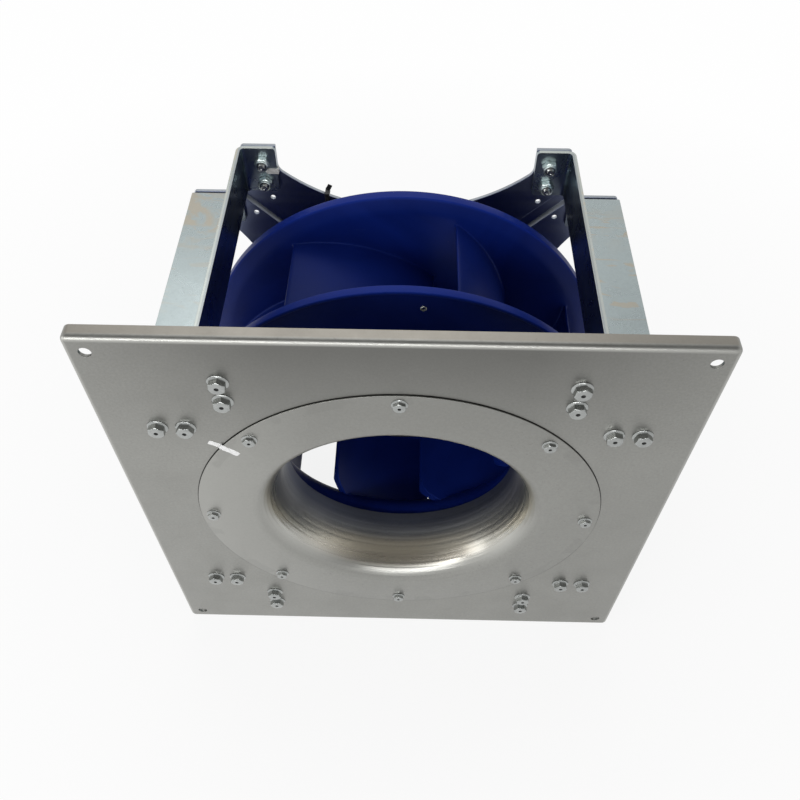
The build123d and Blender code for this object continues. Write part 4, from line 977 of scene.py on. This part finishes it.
class FAN_OT_make_impeller(Operator):
    """Mould the impeller: shroud, back plate, curved blades and balance clips"""
    bl_idname = "fan.make_impeller"
    bl_label = "Make Impeller"

    def execute(self, context):
        detail = context.scene.fan_detail
        for name, outline, node in (
                ("impeller_shroud_moulded", self.shroud_outline(), "impeller_shroud"),
                ("impeller_back_moulded", self.back_outline(), "impeller_back_plate")):
            add_piece(name, revolved(rounded(outline, detail.moulded_edge), detail.round_steps),
                      "impeller_blue", node)
        self.make_blades(detail.moulded_edge)
        self.make_clips()
        return {"FINISHED"}

    def shroud_outline(self):
        """Inlet collar, quarter bend, flat disk and forward lip, as radius and depth."""
        bend = (SHROUD_BEND_CENTRE_R, SHROUD_BEND_Y)
        inner_r = SHROUD_BEND_R - IMPELLER_WALL
        lip_front = SHROUD_BACK - SHROUD_LIP
        return [(SHROUD_INLET_R, SHROUD_INLET),
                *arc(bend, SHROUD_BEND_R, SHROUD_BEND_R, 180, 90, SHROUD_BEND_STEPS),
                (IMPELLER_R, SHROUD_BACK), (IMPELLER_R, lip_front), (RIM_INNER_R, lip_front),
                (RIM_INNER_R, SHROUD_FRONT),
                *arc(bend, inner_r, inner_r, 90, 180, SHROUD_BEND_STEPS),
                (SHROUD_INLET_R + IMPELLER_WALL, SHROUD_INLET)]

    def back_outline(self):
        """Flat disk, shallow cone and rearward rim, as radius and depth."""
        cone_r = IMPELLER_R - BACK_CONE_WIDTH
        rear = BACK_FRONT + BACK_WALL
        start, bend = (BACK_BORE_R, BACK_FRONT), (cone_r, BACK_FRONT)
        rim = (IMPELLER_R, BACK_FRONT + BACK_CONE_DROP)
        rear_rim = (RIM_INNER_R, rear + BACK_CONE_DROP)
        rear_bend, end = (cone_r - IMPELLER_WALL, rear), (BACK_BORE_R, rear)
        return [start, *blended(start, bend, rim, BACK_CONE_BLEND),
                rim, (IMPELLER_R, BACK_REAR), (RIM_INNER_R, BACK_REAR), rear_rim,
                *blended(rear_rim, rear_bend, end, BACK_CONE_BLEND - BACK_WALL), end]

    def make_blades(self, soft_edge):
        """Curved blades with rounded free edges, and with fillets on the disks that carry them."""
        spots = self.blade_outline()
        lines = []
        for anchor, way, half in spots:
            reach = (anchor + way * half).length
            held = max(0.0, min(1.0, (reach - BLADE_ROOT_R) / BLADE_HOLD))
            lines.append((anchor, way, half, self.blade_front(reach), held))
        near = (0.0, 0.25, 0.6, 1.1, BLADE_FILLET)
        steps = [("back", -1.0)] + [("back", height) for height in near]
        steps += [("between", row / BLADE_ROWS) for row in range(1, BLADE_ROWS)]
        steps += [("front", height) for height in reversed(near)] + [("front", -1.0)]
        rings = []
        for side, amount in steps:
            height = max(0.0, amount)
            root = BLADE_FILLET - sqrt(BLADE_FILLET ** 2 - (BLADE_FILLET - height) ** 2)
            level = []
            for anchor, way, half, front, held in lines:
                if side == "back":
                    depth, grow = BACK_FRONT - amount, root
                elif side == "between":
                    low = BACK_FRONT - BLADE_FILLET
                    depth, grow = low + (front + BLADE_FILLET - low) * amount, 0.0
                else:
                    soft = min(soft_edge, 0.9 * half)
                    sink = soft - sqrt(soft ** 2 - max(0.0, soft - height) ** 2)
                    if amount < 0:
                        sink += (half - soft) / 2
                    depth = front + (amount if amount > 0 else amount * held)
                    grow = root * held - sink * (1 - held)
                point = anchor + way * (half + grow)
                level.append((point.x, depth, point.y))
            rings.append(level)
        single = Shape().loft(rings, capped=False)
        self.close_ends(single.faces, len(rings) - 1, len(spots))
        whole = Shape()
        for step in range(BLADE_COUNT):
            turn = radians(BLADE_FIRST_ANGLE + step * 360.0 / BLADE_COUNT)
            whole.place(single, Matrix.Rotation(-turn, 4, "Y"))
        add_piece("impeller_blades_moulded", whole, "impeller_blue", "impeller_blades",
                  BLADE_SMOOTH)

    def close_ends(self, faces, last_row, count):
        """Faces across the blade's section at both ends of its loft."""
        far = 2 * BLADE_STEPS + NOSE_STEPS
        for base in (0, last_row * count):
            for step in range(BLADE_STEPS):
                other = base + far - step
                faces.append((base + step, base + step + 1, other - 1, other))
            nose = base + BLADE_STEPS
            faces.append(tuple(range(nose, nose + NOSE_STEPS + 1)))
            faces.append((base, *range(base + far, base + count)))

    def blade_outline(self):
        """Round the blade's section: a place on its camber, the way out, and the half thickness."""
        tail = Vector((BLADE_TAIL_R, 0.0))
        wrap = radians(BLADE_WRAP)
        nose = Vector((BLADE_NOSE_R * cos(wrap), -BLADE_NOSE_R * sin(wrap)))
        chord = nose - tail
        bulge_way = Vector((-chord.y, chord.x)).normalized()
        camber_r = (chord.length ** 2 / 4 + BLADE_BULGE ** 2) / (2 * BLADE_BULGE)
        centre = (tail + nose) / 2 + bulge_way * (BLADE_BULGE - camber_r)
        first = tail - centre
        sweep = first.angle_signed(nose - centre)
        swell = BLADE_NOSE_THICKNESS - BLADE_TAIL_THICKNESS
        rows = []
        for step in range(BLADE_STEPS + 1):
            part = step / BLADE_STEPS
            out = Matrix.Rotation(-sweep * part, 2) @ first
            half = (BLADE_TAIL_THICKNESS + part ** 0.8 * swell) / 2
            rows.append((centre + out, out.normalized(), half))
        return (rows + self.round_end(rows[-1], rows[-2], 1, NOSE_STEPS)
                + [(place, -way, half) for place, way, half in reversed(rows)]
                + self.round_end(rows[0], rows[1], -1, TAIL_STEPS))

    def round_end(self, last, inner, side, steps):
        """The round nose or tail of the blade's section, between its two sides."""
        middle, out, half = last
        ahead = (middle - inner[0]).normalized()
        angles = [pi * step / steps for step in range(1, steps)]
        return [(middle, side * out * cos(angle) + ahead * sin(angle), half) for angle in angles]

    def blade_front(self, reach):
        """Depth of the blade's front edge at a distance from the axis."""
        if reach >= SHROUD_BEND_CENTRE_R:
            return SHROUD_BACK
        if reach >= BLADE_ROOT_R:
            inside = SHROUD_BEND_CENTRE_R - reach
            return SHROUD_BEND_Y + sqrt(SHROUD_BEND_R ** 2 - inside ** 2)
        nose_r = BLADE_NOSE_R - BLADE_NOSE_THICKNESS / 2
        pulls = ((nose_r, BLADE_ROOT_Y + FREE_EDGE_DROP),
                 (nose_r, BLADE_ROOT_Y + FREE_EDGE_DROP / 2),
                 (BLADE_ROOT_R - FREE_EDGE_PULL, BLADE_ROOT_Y + FREE_EDGE_PULL),
                 (BLADE_ROOT_R, BLADE_ROOT_Y))
        low, high = 0.0, 1.0
        for _ in range(24):
            part = (low + high) / 2
            rest = 1 - part
            shares = (rest ** 3, 3 * rest ** 2 * part, 3 * rest * part ** 2, part ** 3)
            if sum(share * pull[0] for share, pull in zip(shares, pulls)) < reach:
                low = part
            else:
                high = part
        return sum(share * pull[1] for share, pull in zip(shares, pulls))

    def make_clips(self):
        """Two pressed clips on the shroud's front."""
        outer = hexagon(5.6)
        clip = turned([(0.9, 0), (outer, 0), (outer, -0.85), (hexagon(5.0), -1.15),
                       (1.5, -1.15), (0.95, -0.85)], 36, loop=True)
        places = ring_places(CLIP_RING_R, 2, CLIP_ANGLE)
        add_piece("balance_clips_pressed", set_out(clip, places, SHROUD_FRONT),
                  "bolt_zinc_bright", "balance_clips")


class FAN_OT_make_fasteners(Operator):
    """Make every bolt, screw and nut with its real form"""
    bl_idname = "fan.make_fasteners"
    bl_label = "Make Fasteners"

    def execute(self, context):
        draw = Random(context.scene.fan_detail.seed)
        nut = lock_nut(M8_NUT)
        corners = corner_places()
        nozzle = ring_places(NOZZLE_SCREW_R, 8)
        motor = ring_places(MOTOR_SCREW_R, 8, 22.5)
        hub = ring_places(HUB_SCREW_R, 8)
        cover = ring_places(COVER_SCREW_R, 6, 30)
        for node, shape, places, y, rearward in (
                ("front_bolts", flange_bolt(M8_BOLT, FRONT_BOLT), corners, 0, False),
                ("nozzle_screws", flange_bolt(M6_BOLT, NOZZLE_SCREW), nozzle, NOZZLE_FRONT, False),
                ("front_nuts", nut, corners, STRUT_BACK, False),
                ("nozzle_nuts", lock_nut(M6_NUT), nozzle, PLATE_SHEET, False),
                ("rear_bolts", flange_bolt(M8_BOLT, REAR_BOLT), corners, CARRIER_BACK, True),
                ("rear_nuts", nut, corners, FLANGE_FRONT, True),
                ("motor_screws", flange_bolt(M8_BOLT, MOTOR_SCREW), motor, CARRIER_BACK, True),
                ("impeller_screws", flange_bolt(M6_BOLT, HUB_SCREW), hub, HUB_FRONT, False),
                ("cover_screws", pan_screw(*COVER_SCREW), cover, COVER_SEAT, True)):
            finish = "nut_zinc_pale" if node.endswith("nuts") else "bolt_zinc_bright"
            whole = set_out(shape, places, y, rearward, draw)
            add_piece(node + "_turned", whole, finish, node, FASTENER_SMOOTH)
        rings = Shape()
        for size, places, y, rearward in ((M8_NUT, corners, STRUT_BACK, False),
                                          (M8_NUT, corners, FLANGE_FRONT, True),
                                          (M6_NUT, nozzle, PLATE_SHEET, False)):
            rings.place(set_out(nylon_ring(size), places, y, rearward), Matrix())
        add_piece("nut_locking_rings", rings, "lock_nylon")
        return {"FINISHED"}


class FAN_OT_paint_mark(Operator):
    """Paint the white witness mark across the edge of the nozzle's disk"""
    bl_idname = "fan.paint_mark"
    bl_label = "Paint Mark"

    def execute(self, context):
        mark = Shape()
        for stroke in PAINT_STROKES:
            self.stroke(mark, *stroke)
        add_piece("witness_mark", mark, "witness_paint")
        return {"FINISHED"}

    def stroke(self, mark, start, end, width, surface, phase):
        """One brush stroke in X and Z: a thin skin of paint with uneven edges."""
        start = Vector(start)
        along = Vector(end) - start
        side = Vector((-along.y, along.x)).normalized() * width / 2
        rings = []
        for step in range(STROKE_STEPS + 1):
            part = step / STROKE_STEPS
            narrow = min(1.0, 0.72 + 3.0 * part, 0.80 + 3.0 * (1 - part))
            left = narrow * (1 + 0.07 * sin(9 * part + phase) + 0.04 * sin(31 * part))
            right = narrow * (1 + 0.06 * sin(11 * part + 2 * phase) + 0.04 * sin(27 * part + 1))
            level = []
            for share, lift in ((left, -0.02), (0.9 * left, 0.09), (0.3, 0.13), (-0.3, 0.12),
                                (-0.9 * right, 0.08), (-right, -0.02)):
                place = start + along * part + side * share
                level.append((place.x, surface - lift, place.y))
            rings.append(level)
        mark.loft(rings)


class FAN_OT_make_motor(Operator):
    """Round the motor's castings and make the cable glands"""
    bl_idname = "fan.make_motor"
    bl_label = "Make Motor"

    def execute(self, context):
        edge = context.scene.fan_detail.casting_edge
        for node in ("stator_flange", "electronics_housing", "electronics_cover"):
            softened(node, "motor_casting", edge)
        softened("rotor_bell", "rotor_black", edge)
        softened("hub_ring", "bolt_zinc_bright", HUB_EDGE)
        self.make_glands()
        return {"FINISHED"}

    def make_glands(self):
        """Two glands: hex body, ribbed dome nut and a soft insert, pointing down."""
        length = GLAND_TOP - GLAND_LOW - GLAND_THREAD
        flats = 24.0

        def ribs(reach):
            return lambda angle: reach + 0.28 * max(-0.6, cos(18 * angle))
        body = turned([(GLAND_BORE, -GLAND_THREAD), (9.95, -GLAND_THREAD), (9.95, 0),
                       (hexagon(flats, 0, 13.0), 0), (hexagon(flats, 0, 13.7), 0.6),
                       (hexagon(flats, 0, 13.7), 6.2), (hexagon(flats, 0, 12.9), 6.8),
                       (10.2, 7.0), (ribs(10.25), 7.1), (ribs(9.5), 12.5),
                       *arc((7.0, length - 3.6), 2.1, 3.6, 0, 90, 5), (6.6, length - 0.4),
                       (6.4, length - 2.5), (GLAND_BORE, length - 2.6)], 96, loop=True)
        hole = GLAND_BORE - 0.6
        insert = revolved(rounded([(hole, length - 2.6), (6.38, length - 2.6),
                                   (6.38, length - 0.9), (hole, length - 1.2)], 0.3, 3))
        glands, inserts = Shape(), Shape()
        for side in (-1, 1):
            place = (side * GLAND_SPACING / 2, GLAND_MIDDLE, GLAND_TOP - GLAND_THREAD)
            matrix = Matrix.Translation(place) @ Matrix.Rotation(-pi / 2, 4, "X")
            glands.place(body, matrix)
            inserts.place(insert, matrix)
        add_piece("cable_glands_moulded", glands, "black_nylon", "cable_glands")
        add_piece("gland_inserts", inserts, "black_rubber")


class FAN_OT_set_stage(Operator):
    """Build the floor, the lamps, the surroundings and the camera"""
    bl_idname = "fan.set_stage"
    bl_label = "Set Stage"

    def execute(self, context):
        stage = context.scene.fan_stage
        self.make_floor(CAD_BOX[0].z)
        self.make_world(context.scene, stage.world_level)
        powers = stage.overhead_power, stage.front_power, stage.left_power
        for (name, place, width, height), power in zip(LAMPS, powers):
            self.make_lamp(name, Vector(place), width, height, power)
        camera = bpy.data.cameras.new("photo_camera")
        camera.sensor_width = 36
        camera.lens = stage.camera_lens
        camera.clip_start = 0.01
        holder = new_object("photo_camera", camera)
        holder.location = stage.camera_place
        holder.rotation_euler = stage.camera_turn
        context.scene.camera = holder
        context.scene.view_settings.view_transform = "Standard"
        return {"FINISHED"}

    def make_floor(self, height):
        """A pale floor that looks white to the camera; near the fan more of its own shading shows,
        which gives a faint shadow inside a painted shadow pool.
        """
        skin = Finish("pale_floor")
        skin.colour = skin.blend(skin.noise(3, 2, 0.5), (0.86, 0.86, 0.86), (0.90, 0.90, 0.90))
        skin.done(0.9, metallic=0.0)
        rays = skin.put("LightPath").outputs
        x, y, _ = skin.axes()
        away = skin.distance(x, skin.calc("SUBTRACT", y, 0.16))
        seen = skin.calc("MAXIMUM", rays["Is Camera Ray"], rays["Is Transmission Ray"])
        # Painted shadow pool: nearer the fan the floor shows more of its own shading, so it renders
        # darker there even where it is lit.
        seen = skin.times(seen, skin.ramp(away, 0.30, 1.10, 0.86, 0.985))
        # Painted light: in reflections the floor glows brighter on the left than on the right.
        glossy = skin.times(rays["Is Glossy Ray"], skin.ramp(x, -0.38, 0.38, 0.86, 0.42))
        white = skin.put("Emission", {"Color": (1, 1, 1), "Strength": 1.0})
        mixed = skin.put("MixShader", {0: skin.calc("MAXIMUM", seen, glossy),
                                       1: skin.shader.outputs[0], 2: white.outputs[0]})
        skin.fill(skin.tree.nodes["Material Output"].inputs[0], mixed.outputs[0])
        data = bpy.data.meshes.new("floor")
        corners = [(x * FLOOR_HALF, y * FLOOR_HALF, 0)
                   for x, y in ((-1, -1), (1, -1), (1, 1), (-1, 1))]
        data.from_pydata(corners, [], [(0, 1, 2, 3)])
        data.materials.append(skin.material)
        floor = new_object("floor", data)
        floor.location.z = height - 0.5 * MM

    def make_world(self, scene, level):
        """White behind the object, plain soft light on it, and a darker ceiling in reflections."""
        world = bpy.data.worlds.new("surroundings")
        world.use_nodes = True
        kit = NodeKit(world.node_tree)
        rays = kit.put("LightPath").outputs
        way = kit.put("TexCoord").outputs["Generated"]
        facing = kit.put("VectorMath", {0: way, 1: (0.0, -0.35, 0.94)}, operation="DOT_PRODUCT")
        ceiling = kit.ramp(facing.outputs["Value"], 0.30, 0.88, 0.80, 0.17)
        glossy = kit.ramp(rays["Is Glossy Ray"], 0, 1, level, ceiling)
        seen = kit.calc("MAXIMUM", rays["Is Camera Ray"], rays["Is Transmission Ray"])
        background = world.node_tree.nodes["Background"]
        kit.fill(background.inputs["Color"], (1, 1, 1))
        kit.fill(background.inputs["Strength"], kit.ramp(seen, 0, 1, glossy, 1.0))
        scene.world = world

    def make_lamp(self, name, place, width, height, power):
        """A rectangular soft lamp that faces the fan."""
        lamp = bpy.data.lights.new(name, "AREA")
        lamp.shape = "RECTANGLE"
        lamp.size = width
        lamp.size_y = height
        lamp.energy = power
        holder = new_object(name, lamp)
        holder.location = place
        holder.rotation_euler = (place - Vector(LAMP_AIM)).to_track_quat("Z", "Y").to_euler()


class FAN_PT_sidebar(Panel):
    """Lists the fan's operators in the 3D view's sidebar"""
    bl_idname = "FAN_PT_sidebar"
    bl_label = "Plug Fan"
    bl_space_type = "VIEW_3D"
    bl_region_type = "UI"
    bl_category = "Fan"

    def draw(self, context):
        for operator in OPERATORS:
            self.layout.operator(operator.bl_idname)


SETTINGS = {"fan_finish": FanFinishSettings, "fan_detail": FanDetailSettings,
            "fan_stage": FanStageSettings}
OPERATORS = (FAN_OT_dress_nodes, FAN_OT_make_frame, FAN_OT_make_nozzle, FAN_OT_make_impeller,
             FAN_OT_make_fasteners, FAN_OT_paint_mark, FAN_OT_make_motor, FAN_OT_set_stage)


def register():
    for part in (*SETTINGS.values(), *OPERATORS, FAN_PT_sidebar):
        bpy.utils.register_class(part)
    for name, settings in SETTINGS.items():
        setattr(bpy.types.Scene, name, PointerProperty(type=settings))


def unregister():
    for name in SETTINGS:
        delattr(bpy.types.Scene, name)
    for part in reversed((*SETTINGS.values(), *OPERATORS, FAN_PT_sidebar)):
        bpy.utils.unregister_class(part)


def main():
    register()
    bpy.ops.fan.dress_nodes()
    bpy.ops.fan.make_frame()
    bpy.ops.fan.make_nozzle()
    bpy.ops.fan.make_impeller()
    bpy.ops.fan.make_fasteners()
    bpy.ops.fan.paint_mark()
    bpy.ops.fan.make_motor()
    bpy.ops.fan.set_stage()


if __name__ == "__main__":
    main()
